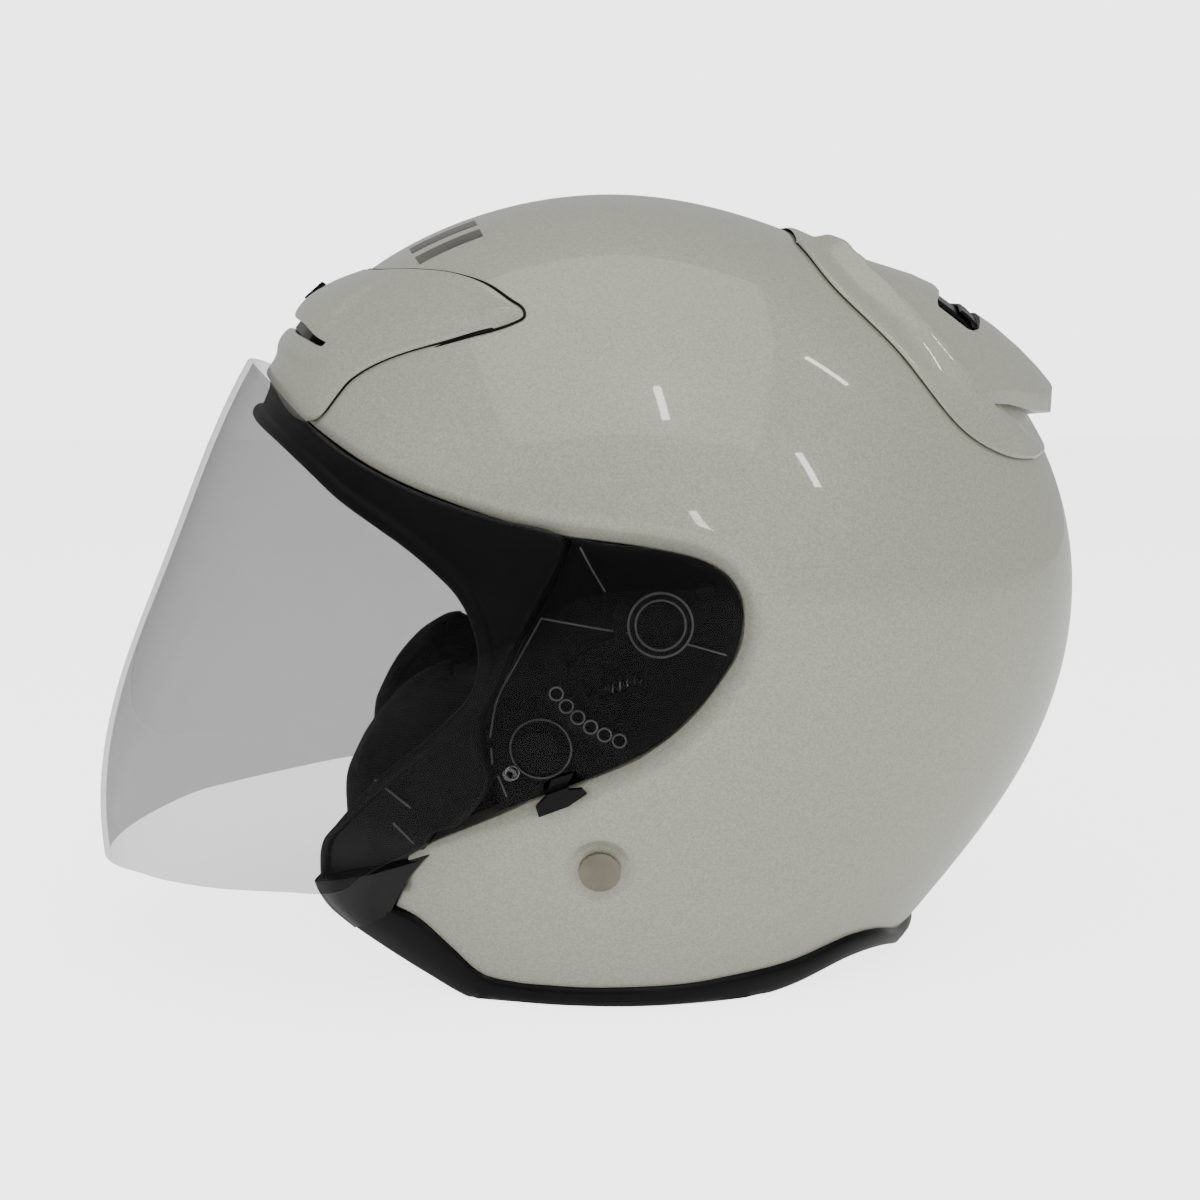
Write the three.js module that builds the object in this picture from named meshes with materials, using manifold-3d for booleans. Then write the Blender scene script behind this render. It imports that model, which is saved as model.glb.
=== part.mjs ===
// Open-face motorcycle helmet: a painted shell with a hinged clear shield, brow and rear vents,
// rubber edgings, a shield mechanism on each side, a foam and fabric liner, and a D-ring chin strap.
// Millimetres, +Z up. The wearer faces -Y and the wearer's left is +X. The origin is the middle of the
// bounding box on the surface that the helmet stands on.
import * as THREE from "three";
import { mergeVertices } from "three/addons/utils/BufferGeometryUtils.js";
import Module from "manifold-3d";

const wasm = await Module();
wasm.setup();

// ---------------------------------------------------------------- driving dimensions
const PIVOT = { y: 15, z: 119.5 }; // the shield's hinge axis, parallel to X
// A skin bulges out from a side view given by its radii about the pivot, one every 22.5 degrees,
// from the rear up over the crown; halfWidth is where it crosses the pivot axis.
const SHELL = {
  radii: [153, 148, 137, 130.6, 132, 135, 139.8, 142.5, 146, 152, 164, 180, 190, 165, 149.6, 151],
  halfWidth: 124,
  bulge: 2.2,
};
const SHIELD = {
  radii: [160, 160, 160, 156, 153, 152.5, 152, 151.5, 162, 200, 219, 215, 200, 180, 165, 160],
  halfWidth: 126.8,
  bulge: 2.1,
};
const SHELL_THICKNESS = 4.5;
const SHIELD_THICKNESS = 2;
const POCKET_DEPTH = 8; // the recess that holds the shield mechanism
const BAND_DEPTH = 3.2; // the shallow recess under the eye-port beading
const PLATE_TOP = 4; // depth of the base plate's face below the shell's surface
const GAP = 0.3; // between pieces that touch
const FOAM_INNER = 33; // depth of the foam liner's inner face
const PAD_INNER = 42; // depth of the crown pad's inner face
const RIVET = { a: -16.8, b: -73.8, capRadius: 6.2, shankRadius: 3, dimpleRadius: 9 };
const STRAP = { width: 20, thickness: 1.8 };
const RACK = { radius: 36.2, from: 214.3, pitch: 7.4, notches: 6, notchRadius: 1.7 };
const WIDE = 200; // beyond the helmet on every side

// ---------------------------------------------------------------- outlines
// Pairs [a, b] are side-view distances from the pivot: a to the rear, b up. [degrees, "centre"] is a
// point on the centre line at that angle about the pivot.

// The edge of the paint around the shield's recess, from the brow's middle round the pivot to the cheek.
const LIP = [
  [-125.4, 74.9], [-114.7, 65.2], [-100.1, 54.2], [-82.1, 43.4], [-60.4, 34.7], [-31.2, 26.3],
  [-3.1, 22.3], [10.9, 19.2], [19.4, 14.7], [24.4, 6.8], [24.4, -1.6], [21.6, -11.5], [15.2, -21.3],
  [6.7, -30.4], [-3.1, -37.8], [-14.3, -43.7], [-24.1, -48.3], [-39.6, -54.5], [-54, -61.6],
  [-65.8, -67.5], [-73.4, -72.7],
];
// The inner line of the eye port's beading, and the line where its flange ends, matched in pairs.
const PORT_EDGE = [
  [155.6, "centre"], [-117.8, 52.2], [-106.5, 44.3], [-93.7, 34.2], [-82.1, 26.8], [-73.8, 21.4],
  [-64.8, 14.3], [-58.2, 7.6], [-54, -0.4], [-52.2, -8.8], [-52.8, -16.2], [-56.1, -23.5],
  [-61.6, -29.6], [-69.3, -37.1], [-83.4, -50], [-96.6, -66.3], [-101.8, -74.2], [-102.9, -80],
];
const PORT_FLANGE = [
  [149.5, "centre"], [-114.2, 64.2], [-103.2, 55.9], [-90.2, 47.1], [-76.5, 40.2], [-63, 34.9],
  [-47, 30.2], [-27.8, 24.2], [-36.9, 2.5], [-42.2, -7.4], [-47.7, -19.8], [-51.4, -27.5],
  [-51.9, -36], [-49.4, -47.5], [-58, -61.2], [-66, -64.8], [-70.4, -67.8], [-71.8, -71.4],
];
// The front edge of the mechanism's pocket, from the bottom up.
const POCKET_FRONT = [[-46.2, -54], [-48.2, -45.1], [-50.2, -39], [-50.8, -31.5], [-49.6, -26.1],
  [-46.2, -20.4], [-39.7, -5.7], [-35.2, 2], [-29.7, 13], [-25.2, 23]];
// The corner cover between the two edgings.
const CORNER_EDGE = [[-102.9, -80.6], [-102, -87], [-98.6, -92.8], [-92.6, -97.4]];
const CORNER_FLANGE = [[-68.5, -75.2], [-73.6, -80.4], [-76.6, -85.4], [-79.6, -89]];
// The black edge trim along the cheek, the bottom rim and the nape.
const TRIM_EDGE = [
  [-92, -98], [-80, -104.8], [-68, -111.5], [-54.4, -118.8], [-42, -121], [-27.7, -121], [-4.3, -121],
  [19.5, -120.4], [44.6, -117], [64.6, -111.5], [77, -112.5], [88, -118.5], [308.6, "centre"],
];
const TRIM_FLANGE = [
  [-79, -89.5], [-70.5, -93.2], [-60.5, -102.5], [-51.9, -110.6], [-41.5, -112.8], [-27.7, -113.2],
  [-4.3, -113], [19.5, -111.8], [44.6, -109.2], [64.6, -104.6], [75.5, -106], [86.5, -112],
  [311, "centre"],
];
// The shield, seen from the side: its top edge, the lobe round the pivot and its bottom edge.
const SHIELD_TOP = [[149.2, "centre"], [-119, 70.3], [-105.5, 58.5], [-93.1, 49.1], [-70.8, 38.1],
  [-44.8, 29.9], [-17.3, 23.6]];
const SHIELD_LOBE = [[-17.3, 23.6], [4, 21], [17, 15.6], [23.4, 5], [22.2, -8], [11.2, -24],
  [-6, -38.5]];
const SHIELD_BOTTOM = [[206.7, "centre"], [-165, -87.8], [-151.9, -86.8], [-137.1, -85.8],
  [-110.5, -83.4], [-98.1, -82.7], [-92, -81.1], [-86.6, -76.4], [-65.3, -64], [-39.7, -52.2],
  [-6, -38.5]];

// ---------------------------------------------------------------- colours
const finish = (color, roughness, metalness = 0, opacity = 1) =>
  new THREE.MeshStandardMaterial({ color, roughness, metalness, opacity, transparent: opacity < 1 });
const PAINT = finish(0xb9bab0, 0.25, 0.1);
const RUBBER = finish(0x1b1b1c, 0.6);
const BLACK_PLASTIC = finish(0x141415, 0.35);
const CLEAR = finish(0xc9c6cc, 0.08, 0, 0.35);
const FOAM = finish(0x2e2e30, 0.9);
const FABRIC = finish(0x333336, 0.95);
const WEBBING = finish(0x17171a, 0.9);
const BRONZE = finish(0x8d8672, 0.4, 0.9);
const STEEL = finish(0xb4b6b8, 0.3, 0.9);

// ---------------------------------------------------------------- geometry helpers
const at = (x, y, z) => new THREE.Vector3(x, y, z);
const range = (count, make) => Array.from({ length: count }, (_, i) => make(i));

// A geometry from a flat list of triangle corners, turned inside out if its faces point inwards.
function closed(corners) {
  const volume = range(corners.length / 3, (i) =>
    corners[3 * i].dot(corners[3 * i + 1].clone().cross(corners[3 * i + 2])),
  ).reduce((sum, v) => sum + v, 0);
  const ordered = volume < 0 ? corners.slice().reverse() : corners;
  return new THREE.BufferGeometry().setFromPoints(ordered);
}

const cornersOf = (geometry) => {
  const flat = geometry.index ? geometry.toNonIndexed() : geometry;
  return range(flat.attributes.position.count, (i) =>
    new THREE.Vector3().fromBufferAttribute(flat.attributes.position, i));
};

const mirrored = (geometry) => closed(cornersOf(geometry).map((p) => at(-p.x, p.y, p.z)));

function solid(geometry) {
  const plain = new THREE.BufferGeometry();
  plain.setAttribute("position", (geometry.index ? geometry.toNonIndexed() : geometry).attributes.position);
  const merged = mergeVertices(plain, 1e-4);
  return new wasm.Manifold(
    new wasm.Mesh({
      numProp: 3,
      vertProperties: merged.attributes.position.array,
      triVerts: new Uint32Array(merged.index.array),
    }),
  );
}

function geometryOf(made) {
  const mesh = made.getMesh();
  const geometry = new THREE.BufferGeometry();
  geometry.setAttribute("position", new THREE.BufferAttribute(mesh.vertProperties.slice(), 3));
  geometry.setIndex(new THREE.BufferAttribute(mesh.triVerts.slice(), 1));
  return geometry;
}

// A closed plate between two matching grids of points.
function slab(outer, inner) {
  const corners = [];
  const quad = (p, q, r, s) => corners.push(p, q, r, p, r, s);
  const n = outer.length - 1;
  const m = outer[0].length - 1;
  for (let i = 0; i < n; i++) {
    for (let j = 0; j < m; j++) {
      quad(outer[i][j], outer[i + 1][j], outer[i + 1][j + 1], outer[i][j + 1]);
      quad(inner[i][j], inner[i][j + 1], inner[i + 1][j + 1], inner[i + 1][j]);
    }
    quad(outer[i][0], inner[i][0], inner[i + 1][0], outer[i + 1][0]);
    quad(outer[i][m], outer[i + 1][m], inner[i + 1][m], inner[i][m]);
  }
  for (let j = 0; j < m; j++) {
    quad(outer[0][j], outer[0][j + 1], inner[0][j + 1], inner[0][j]);
    quad(outer[n][j], inner[n][j], inner[n][j + 1], outer[n][j + 1]);
  }
  return closed(corners);
}

// A closed lens between two dished faces: each face is a middle point and closed rings round it.
function lens(outer, inner) {
  const corners = [];
  const face = ({ middle, rings }, flip) => {
    const push = (p, q, r) => (flip ? corners.push(p, r, q) : corners.push(p, q, r));
    rings[0].forEach((p, k) => push(middle, p, rings[0][(k + 1) % rings[0].length]));
    for (let i = 0; i + 1 < rings.length; i++)
      rings[i].forEach((p, k) => {
        const next = (k + 1) % rings[i].length;
        push(p, rings[i + 1][k], rings[i + 1][next]);
        push(p, rings[i + 1][next], rings[i][next]);
      });
  };
  face(outer, false);
  face(inner, true);
  const [top, bottom] = [outer.rings.at(-1), inner.rings.at(-1)];
  top.forEach((p, k) => {
    const next = (k + 1) % top.length;
    corners.push(top[next], p, bottom[k], top[next], bottom[k], bottom[next]);
  });
  return closed(corners);
}

// A closed bar through a row of sections, each the same ring of points; profile is the flat shape
// of that ring, used to fill the two ends.
function loft(sections, profile) {
  const corners = [];
  const count = profile.length;
  for (let s = 0; s + 1 < sections.length; s++)
    for (let k = 0; k < count; k++) {
      const next = (k + 1) % count;
      const [p, q, r, t] = [sections[s][k], sections[s + 1][k], sections[s + 1][next], sections[s][next]];
      corners.push(p, q, r, p, r, t);
    }
  const flat = profile.map(([u, v]) => new THREE.Vector2(u, v));
  const turn = THREE.ShapeUtils.area(flat) > 0;
  for (const face of THREE.ShapeUtils.triangulateShape(flat, [])) {
    const sameTurn = THREE.ShapeUtils.area(face.map((f) => flat[f])) > 0 === turn;
    const [i, j, k] = sameTurn ? face : face.toReversed();
    corners.push(sections[0][i], sections[0][j], sections[0][k]);
    corners.push(sections.at(-1)[i], sections.at(-1)[k], sections.at(-1)[j]);
  }
  return closed(corners);
}

// A bar along X from a side-view outline of [a, b] pairs.
function prism(outline, x0, x1, holes = []) {
  const points = (list) => list.map(([a, b]) => new THREE.Vector2(a + PIVOT.y, b + PIVOT.z));
  const rim = points(outline);
  const shape = new THREE.Shape(THREE.ShapeUtils.isClockWise(rim) ? rim.reverse() : rim);
  shape.holes = holes.map((hole) => new THREE.Path(points(hole)));
  const bar = new THREE.ExtrudeGeometry(shape, { depth: x1 - x0, bevelEnabled: false });
  bar.applyMatrix4(new THREE.Matrix4().makeBasis(at(0, 1, 0), at(0, 0, 1), at(1, 0, 0)));
  return bar.translate(x0, 0, 0);
}

const circle = (a, b, radius, sides = 20) =>
  range(sides, (i) => {
    const angle = (2 * Math.PI * i) / sides;
    return [a + radius * Math.cos(angle), b + radius * Math.sin(angle)];
  });

const polar = (radius, degrees) => {
  const angle = THREE.MathUtils.degToRad(degrees);
  return [radius * Math.cos(angle), radius * Math.sin(angle)];
};

// A band between two radii about the pivot, from one angle to another.
const band = (r0, r1, from, to, steps = 8) => {
  const angles = range(steps + 1, (i) => from + ((to - from) * i) / steps);
  return [...angles.map((t) => polar(r1, t)), ...angles.toReversed().map((t) => polar(r0, t))];
};

// A smooth run of [a, b] pairs through the given ones.
function smooth(points, perSpan = 2) {
  const curve = new THREE.CatmullRomCurve3(points.map(([a, b]) => at(a, b, 0)), false, "centripetal");
  const steps = (points.length - 1) * perSpan;
  return curve.getPoints(steps).map((p) => [p.x, p.y]);
}

// The same outline moved sideways by a distance, to the right of its direction of travel.
function offset(points, distance, loop = false) {
  const last = points.length - 1;
  return points.map(([a, b], i) => {
    const [a0, b0] = points[i > 0 ? i - 1 : loop ? last : 0];
    const [a1, b1] = points[i < last ? i + 1 : loop ? 0 : last];
    const length = Math.hypot(a1 - a0, b1 - b0);
    return [a + (distance * (b1 - b0)) / length, b - (distance * (a1 - a0)) / length];
  });
}

// ---------------------------------------------------------------- skins
// Places on a skin are chart vectors: the angle about the pivot in the side view, and a length from 0
// at the pivot axis to 90 degrees on the centre line.
class Skin {
  constructor({ radii, halfWidth, bulge }) {
    const count = radii.length;
    const near = (i) => radii[(i + count) % count];
    this.controls = radii.map((r, i) => r - (near(i - 1) - 2 * r + near(i + 1)) / 6);
    Object.assign(this, { halfWidth, bulge });
  }

  // Cubic B-spline through the side view's radii.
  radius(theta) {
    const count = this.controls.length;
    const place = (((theta / (2 * Math.PI)) * count) % count + count) % count;
    const i = Math.floor(place);
    const f = place - i;
    const c = (k) => this.controls[(i + k + count) % count];
    const ease = (1 - f) ** 3 * c(-1) + (3 * f ** 3 - 6 * f ** 2 + 4) * c(0);
    return (ease + (-3 * f ** 3 + 3 * f ** 2 + 3 * f + 1) * c(1) + f ** 3 * c(2)) / 6;
  }

  point(theta, phi, depth = 0) {
    const rho = (this.radius(theta) - depth) * Math.sin(phi) ** (2 / this.bulge);
    const x = (this.halfWidth - depth) * Math.cos(phi);
    return at(x, PIVOT.y + rho * Math.cos(theta), PIVOT.z + rho * Math.sin(theta));
  }

  on(chart, depth = 0) {
    return this.point(Math.atan2(chart.y, chart.x), chart.length(), depth);
  }

  chart([a, b]) {
    const centre = b === "centre";
    const theta = centre ? THREE.MathUtils.degToRad(a) : Math.atan2(b, a);
    const share = centre ? 1 : Math.min(1, Math.hypot(a, b) / this.radius(theta));
    const phi = Math.asin(share ** (this.bulge / 2));
    return at(phi * Math.cos(theta), phi * Math.sin(theta), 0);
  }

  // Chart vectors along a smooth curve through the given places, square to the centre line at an end
  // that lies on it.
  along(places, steps) {
    const path = places.map((p) => this.chart(p));
    const beyond = (p) => p.clone().setLength(Math.PI - p.length());
    const before = places[0][1] === "centre" ? [beyond(path[1])] : [];
    const after = places.at(-1)[1] === "centre" ? [beyond(path.at(-2))] : [];
    const curve = new THREE.CatmullRomCurve3([...before, ...path, ...after], false, "centripetal");
    const spans = before.length + path.length - 1 + after.length;
    const [start, end] = [before.length / spans, 1 - after.length / spans];
    return range(steps + 1, (i) => curve.getPoint(start + ((end - start) * i) / steps));
  }

  // The whole closed body under the skin.
  body(depth, around = 36, across = 18) {
    const ring = (j) => range(around, (i) =>
      this.point((2 * Math.PI * i) / around, (Math.PI * j) / across, depth));
    const rings = range(across - 1, (j) => ring(j + 1));
    const [left, right] = [this.point(0, 0, depth), this.point(0, Math.PI, depth)];
    const corners = [];
    for (let i = 0; i < around; i++) {
      const next = (i + 1) % around;
      corners.push(left, rings[0][i], rings[0][next]);
      for (let j = 0; j + 1 < rings.length; j++) {
        const [p, q, r, s] = [rings[j][i], rings[j + 1][i], rings[j + 1][next], rings[j][next]];
        corners.push(p, q, r, p, r, s);
      }
      corners.push(rings.at(-1)[i], right, rings.at(-1)[next]);
    }
    return closed(corners);
  }
}

const shell = new Skin(SHELL);
const pane = new Skin(SHIELD);
// Solids of the shell's skin at a depth; the soft parts inside use coarse ones.
const under = (depth) => solid(shell.body(depth));
const coarse = (depth) => solid(shell.body(depth, 24, 12));

const bothSides = (part) => part.add(solid(mirrored(geometryOf(part))));

// A plate that follows the shell's left side inside a side-view outline, between two depths.
const plate = (outline, top, bottom, holes = []) =>
  solid(prism(outline, 40, WIDE, holes)).intersect(under(top)).subtract(under(bottom));

// ---------------------------------------------------------------- the helmet group
const helmet = new THREE.Group();

function add(name, shape, material) {
  const geometry = shape.isBufferGeometry ? shape : geometryOf(shape);
  geometry.computeVertexNormals();
  const mesh = new THREE.Mesh(geometry, material);
  mesh.name = name;
  helmet.add(mesh);
}

function addPair(name, shape, material) {
  const geometry = shape.isBufferGeometry ? shape : geometryOf(shape);
  add(name + "_left", geometry, material);
  add(name + "_right", mirrored(geometry), material);
}

// ---------------------------------------------------------------- edgings
// Stations along an edge: each gives the place on the shell a distance in from the edge line, and
// with no distance the place on the flange line.
function stations(edge, flange, steps) {
  const ends = shell.along(flange, steps);
  return shell.along(edge, steps).map((from, i) => {
    const width = shell.on(from).distanceTo(shell.on(ends[i]));
    return (distance = width) => from.clone().lerp(ends[i], distance / width);
  });
}
const portStations = stations(PORT_EDGE, PORT_FLANGE, 30);
const cornerStations = stations(CORNER_EDGE, CORNER_FLANGE, 4);
const trimStations = stations(TRIM_EDGE, TRIM_FLANGE, 21);

// The U-shaped section of an edging: a flange on the outside, a wall round the shell's edge, a leg
// inside. Depths are below the shell's surface.
const EDGING = { wall: 1.8, leg: 6, edgeGap: 1.1, legTop: SHELL_THICKNESS + 1.5, legThickness: 1.8 };
const EDGING_PROFILE = [[0, 0], [9, 0], [9, -2], [2, -2], [2, -5], [7, -5], [7, -7], [0, -7]];
function edging(row, top, thickness) {
  const { wall, leg, legTop, legThickness } = EDGING;
  const ring = (station) => {
    const flange = [[0, top], [undefined, top], [undefined, top + thickness], [wall, top + thickness]];
    const inside = [[wall, legTop], [leg, legTop], [leg, legTop + legThickness], [0, legTop + legThickness]];
    return [...flange, ...inside].map(([distance, depth]) => shell.on(station(distance), depth));
  };
  return row.map(ring);
}
const acrossCentre = (sections) => [
  ...sections.toReversed().slice(0, -1).map((ring) => ring.map((p) => at(-p.x, p.y, p.z))),
  ...sections,
];

// ---------------------------------------------------------------- shell
// Everything behind the eye port's edge and above the rim, on one side, through the shell's thickness.
function shellSide(inset) {
  const edge = [...portStations, ...cornerStations, ...trimStations].map((station) => station(inset));
  const overlap = Math.PI / 2 + 0.02;
  const [nape, brow] = [edge.at(-1), edge[0]].map((p) => Math.atan2(p.y, p.x));
  const arc = range(30, (i) => {
    const angle = nape + ((brow - nape + 2 * Math.PI) % (2 * Math.PI)) * (i / 29);
    return at(overlap * Math.cos(angle), overlap * Math.sin(angle), 0);
  });
  const rim = [...edge, ...arc];
  const middle = shell.chart([20, 20]);
  const face = (depth) => ({
    middle: shell.on(middle, depth),
    rings: range(6, (i) => rim.map((p) => shell.on(middle.clone().lerp(p, (i + 1) / 6), depth))),
  });
  return bothSides(solid(lens(face(-14), face(60))));
}

// The mechanism's pocket: the lip round the pivot, closed by the pocket's front edge.
const POCKET = [[-25, 25.1], ...smooth(LIP.slice(6, 18)), [-46.3, -57], ...POCKET_FRONT];

function makeShell() {
  const bandOutline = [[-200, 120], ...offset(smooth(LIP), -0.5), [-75, -82], [-99, -96], [-200, -96]];
  const pocket = solid(prism(POCKET, 60, WIDE)).subtract(under(POCKET_DEPTH));
  const recess = solid(prism(bandOutline, -1, WIDE)).subtract(under(BAND_DEPTH)).add(pocket);
  const bulkhead = solid(prism(offset(POCKET, -SHELL_THICKNESS, true), 60, WIDE))
    .subtract(under(POCKET_DEPTH + SHELL_THICKNESS));
  const hollow = under(SHELL_THICKNESS).subtract(bothSides(bulkhead));
  const dimpleBar = solid(prism(circle(RIVET.a, RIVET.b, RIVET.dimpleRadius, 20), 60, WIDE));
  const dimple = dimpleBar.subtract(under(1.6));
  const rivetHole = solid(prism(circle(RIVET.a, RIVET.b, RIVET.shankRadius + GAP, 16), 60, WIDE));
  const leftCuts = recess.add(dimple).add(rivetHole);
  return under(0)
    .subtract(hollow)
    .subtract(bothSides(leftCuts))
    .intersect(shellSide(EDGING.wall + EDGING.edgeGap));
}
add("outer_shell", makeShell(), PAINT);

const bulkheadRoom = solid(prism(offset(POCKET, -SHELL_THICKNESS - 0.6, true), 60, WIDE))
  .intersect(under(SHELL_THICKNESS + 0.2));
const beading = solid(loft(acrossCentre(edging(portStations, 0.7, 0.9)), EDGING_PROFILE));
add("window_beading", beading.subtract(bothSides(bulkheadRoom)), RUBBER);

const aboveFloor = solid(prism([[-WIDE, -PIVOT.z], [WIDE, -PIVOT.z], [WIDE, 0], [-WIDE, 0]], -WIDE, WIDE));
const trim = solid(loft(acrossCentre(edging(trimStations.toReversed(), -2.6, 1.5)), EDGING_PROFILE));
add("bottom_edge_trim", trim.intersect(aboveFloor), RUBBER);
addPair("edge_corner_cover", loft(edging(cornerStations, -3, 1.8), EDGING_PROFILE), BLACK_PLASTIC);

// ---------------------------------------------------------------- shield
// The middle of one of the round notches on the arc that holds the shield at its steps.
const rackPlace = (i) => polar(RACK.radius, RACK.from + RACK.pitch * i);

function makeShield() {
  const columns = 14;
  const rows = 10;
  const top = pane.along(SHIELD_TOP, columns);
  const bottom = pane.along(SHIELD_BOTTOM, columns);
  const lobe = pane.along(SHIELD_LOBE, rows);
  const [topAngle, bottomAngle] = [SHIELD_TOP[0][0], SHIELD_BOTTOM[0][0]];
  // A patch blended between its four edges: the centre line, the lobe, the top and the bottom.
  const place = (i, j) => {
    const [u, v] = [i / columns, j / rows];
    const front = pane.chart([topAngle + (bottomAngle - topAngle) * v, "centre"]);
    const ruled = front.clone().lerp(lobe[j], u).add(top[i].clone().lerp(bottom[i], v));
    const flat = top[0].clone().lerp(top[columns], u).lerp(bottom[0].clone().lerp(bottom[columns], u), v);
    return ruled.sub(flat);
  };
  const grid = (depth) => {
    const left = range(columns + 1, (i) => range(rows + 1, (j) => pane.on(place(i, j), depth)));
    const right = left.slice(1).toReversed().map((row) => row.map((p) => at(-p.x, p.y, p.z)));
    return [...right, ...left];
  };
  const triggerRoom = [[-38, -60], [-38, -49], [-35, -46], [-24, -41.4], [-20, -43], [-19, -60]];
  const notch = solid(prism(triggerRoom, 60, WIDE));
  const boss = solid(prism(circle(0, 0, 7, 20), 121, 125.6));
  const nib = solid(prism(circle(...rackPlace(2), 1.1, 10), 120.3, 124.3));
  const extra = boss.add(nib);
  return solid(slab(grid(0), grid(SHIELD_THICKNESS)))
    .subtract(bothSides(notch))
    .add(bothSides(extra));
}
add("shield_pane", makeShield(), CLEAR);

// ---------------------------------------------------------------- shield mechanism
const CAP = { a: -34.7, b: -37.6, radius: 6.1 };
const SNAP = { a: -42.9, b: -44.7 };
const SCREW = { a: 13, b: 9 };
const springSeat = [[-17, -22], [-15.6, -17.4], [-3.4, -13.6], [-4.6, -18.4]];
const tabSlot = [[-27.5, -10.6], [-24.3, -9.6], [-17.6, -19.6], [-20.6, -21.8]];
const triggerCutout = [[-33, -49.4], [-33, -44.6], [-24, -41.4], [-23.2, -45.8]];
addPair(
  "base_plate",
  plate(offset(POCKET, 0.7, true), PLATE_TOP, POCKET_DEPTH - GAP - 0.3, [springSeat, tabSlot, triggerCutout]),
  BLACK_PLASTIC,
);
const hubCup = solid(prism(circle(0, 0, 7.4, 20), 120.7, WIDE));
addPair("pivot_hub", solid(prism(circle(0, 0, 9.3, 20), 120.3, 123.3)).subtract(hubCup), BLACK_PLASTIC);

function makeRack() {
  const notch = (i) => solid(prism(circle(...rackPlace(i), RACK.notchRadius, 8), 100, WIDE));
  const notches = range(RACK.notches, notch);
  const arc = plate(band(34.6, 39.6, 211, 255, 9), 2.5, PLATE_TOP - GAP);
  return notches.reduce((rest, notch) => rest.subtract(notch), arc);
}
addPair("ratchet_rack", makeRack(), BLACK_PLASTIC);

// The lock lever turns about the hub and its toe sits in the slot beside the spring.
const leverRing = plate(band(10, 13.4, 150, 262, 10), 1.9, PLATE_TOP - GAP);
const leverToe = [[-11.4, -3], [-21, -6.8], [-25.6, -13.2], [-21.4, -19.4], [-16, -13.6], [-8.6, -8.4]];
const leverArm = plate(leverToe, 1.9, PLATE_TOP - GAP);
addPair("lock_lever", leverRing.add(leverArm), BLACK_PLASTIC);

function makeSpring() {
  const [from, to] = [at(117.3, PIVOT.y - 15.3, PIVOT.z - 19.6), at(117.3, PIVOT.y - 5, PIVOT.z - 16.2)];
  const turns = 5;
  const spine = to.clone().sub(from);
  const side = at(1, 0, 0);
  const other = side.clone().cross(spine.clone().normalize());
  const path = new THREE.CatmullRomCurve3(
    range(turns * 6 + 1, (i) => {
      const angle = (i * Math.PI) / 3;
      return from.clone().addScaledVector(spine, i / (turns * 6))
        .addScaledVector(side, 1.4 * Math.cos(angle))
        .addScaledVector(other, 1.4 * Math.sin(angle));
    }),
  );
  const diamond = [[0.3, 0], [0, 0.3], [-0.3, 0], [0, -0.3]];
  const wire = new THREE.Shape(diamond.map(([u, v]) => new THREE.Vector2(u, v)));
  return new THREE.ExtrudeGeometry(wire, { steps: turns * 6, extrudePath: path });
}
addPair("lock_spring", makeSpring(), STEEL);

const bladeOutline = [[-35.5, -53], [-33.2, -50.4], [-26.2, -47.6], [-22.2, -47.2], [-20.8, -48.6],
  [-26.2, -52.6], [-34.6, -56]];
const triggerBlade = plate(bladeOutline, -3, -0.5);
const triggerRiser = plate([[-33, -51], [-32.4, -49.3], [-26, -46.7], [-26.5, -48.4]], -3, 1.4);
const triggerStem = plate([[-32.6, -50.4], [-26.3, -47.8], [-24.6, -43], [-31, -45.6]], 0.2, 1.4);
addPair("release_trigger", triggerStem.add(triggerRiser).add(triggerBlade), BLACK_PLASTIC);

addPair("base_screw_cap", plate(circle(CAP.a, CAP.b, CAP.radius, 24), 2.6, PLATE_TOP - GAP), BLACK_PLASTIC);
addPair("base_screw", plate(circle(SCREW.a, SCREW.b, 3, 16), 3, PLATE_TOP - GAP), STEEL);
const pegBore = circle(SNAP.a, SNAP.b, 1.1, 12);
addPair("snap_peg", plate(circle(SNAP.a, SNAP.b, 2.1, 16), 2.8, PLATE_TOP - GAP, [pegBore]), STEEL);

// ---------------------------------------------------------------- vents
// A cover that stands on the shell: a half grid of places between two lines of [degrees about the
// pivot, X] pairs, with a height over the shell at each.
function halfCover(lineA, lineB, steps, rows, height) {
  const line = (places) => {
    const path = places.map(([degrees, x]) => at(degrees, x, 0));
    return new THREE.CatmullRomCurve3(path, false, "centripetal").getPoints(steps);
  };
  const [from, to] = [line(lineA), line(lineB)];
  const spot = (i, j, depth) => {
    const { x: degrees, y: x } = from[i].clone().lerp(to[i], j / rows);
    const phi = Math.acos(x / (shell.halfWidth - depth));
    return shell.point(THREE.MathUtils.degToRad(degrees), phi, depth);
  };
  const grid = (depthAt) => range(steps + 1, (i) => range(rows + 1, (j) => spot(i, j, depthAt(i, j))));
  return [grid((i, j) => -height(i / steps, j / rows)), grid(() => -0.9)];
}
const flip = (p) => at(-p.x, p.y, p.z);
const bump = (t, middle, spread) => Math.exp(-(((t - middle) / spread) ** 2));
const ramp = (t, low, high) => THREE.MathUtils.smoothstep(t, low, high);
// A block across the centre line that follows the shell, between two angles and two heights over it.
const overShell = (halfWidth, from, to, low, high) => {
  const block = solid(prism(band(70, 220, from, to, 4), -halfWidth, halfWidth));
  return block.intersect(under(-high)).subtract(under(-low));
};

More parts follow.
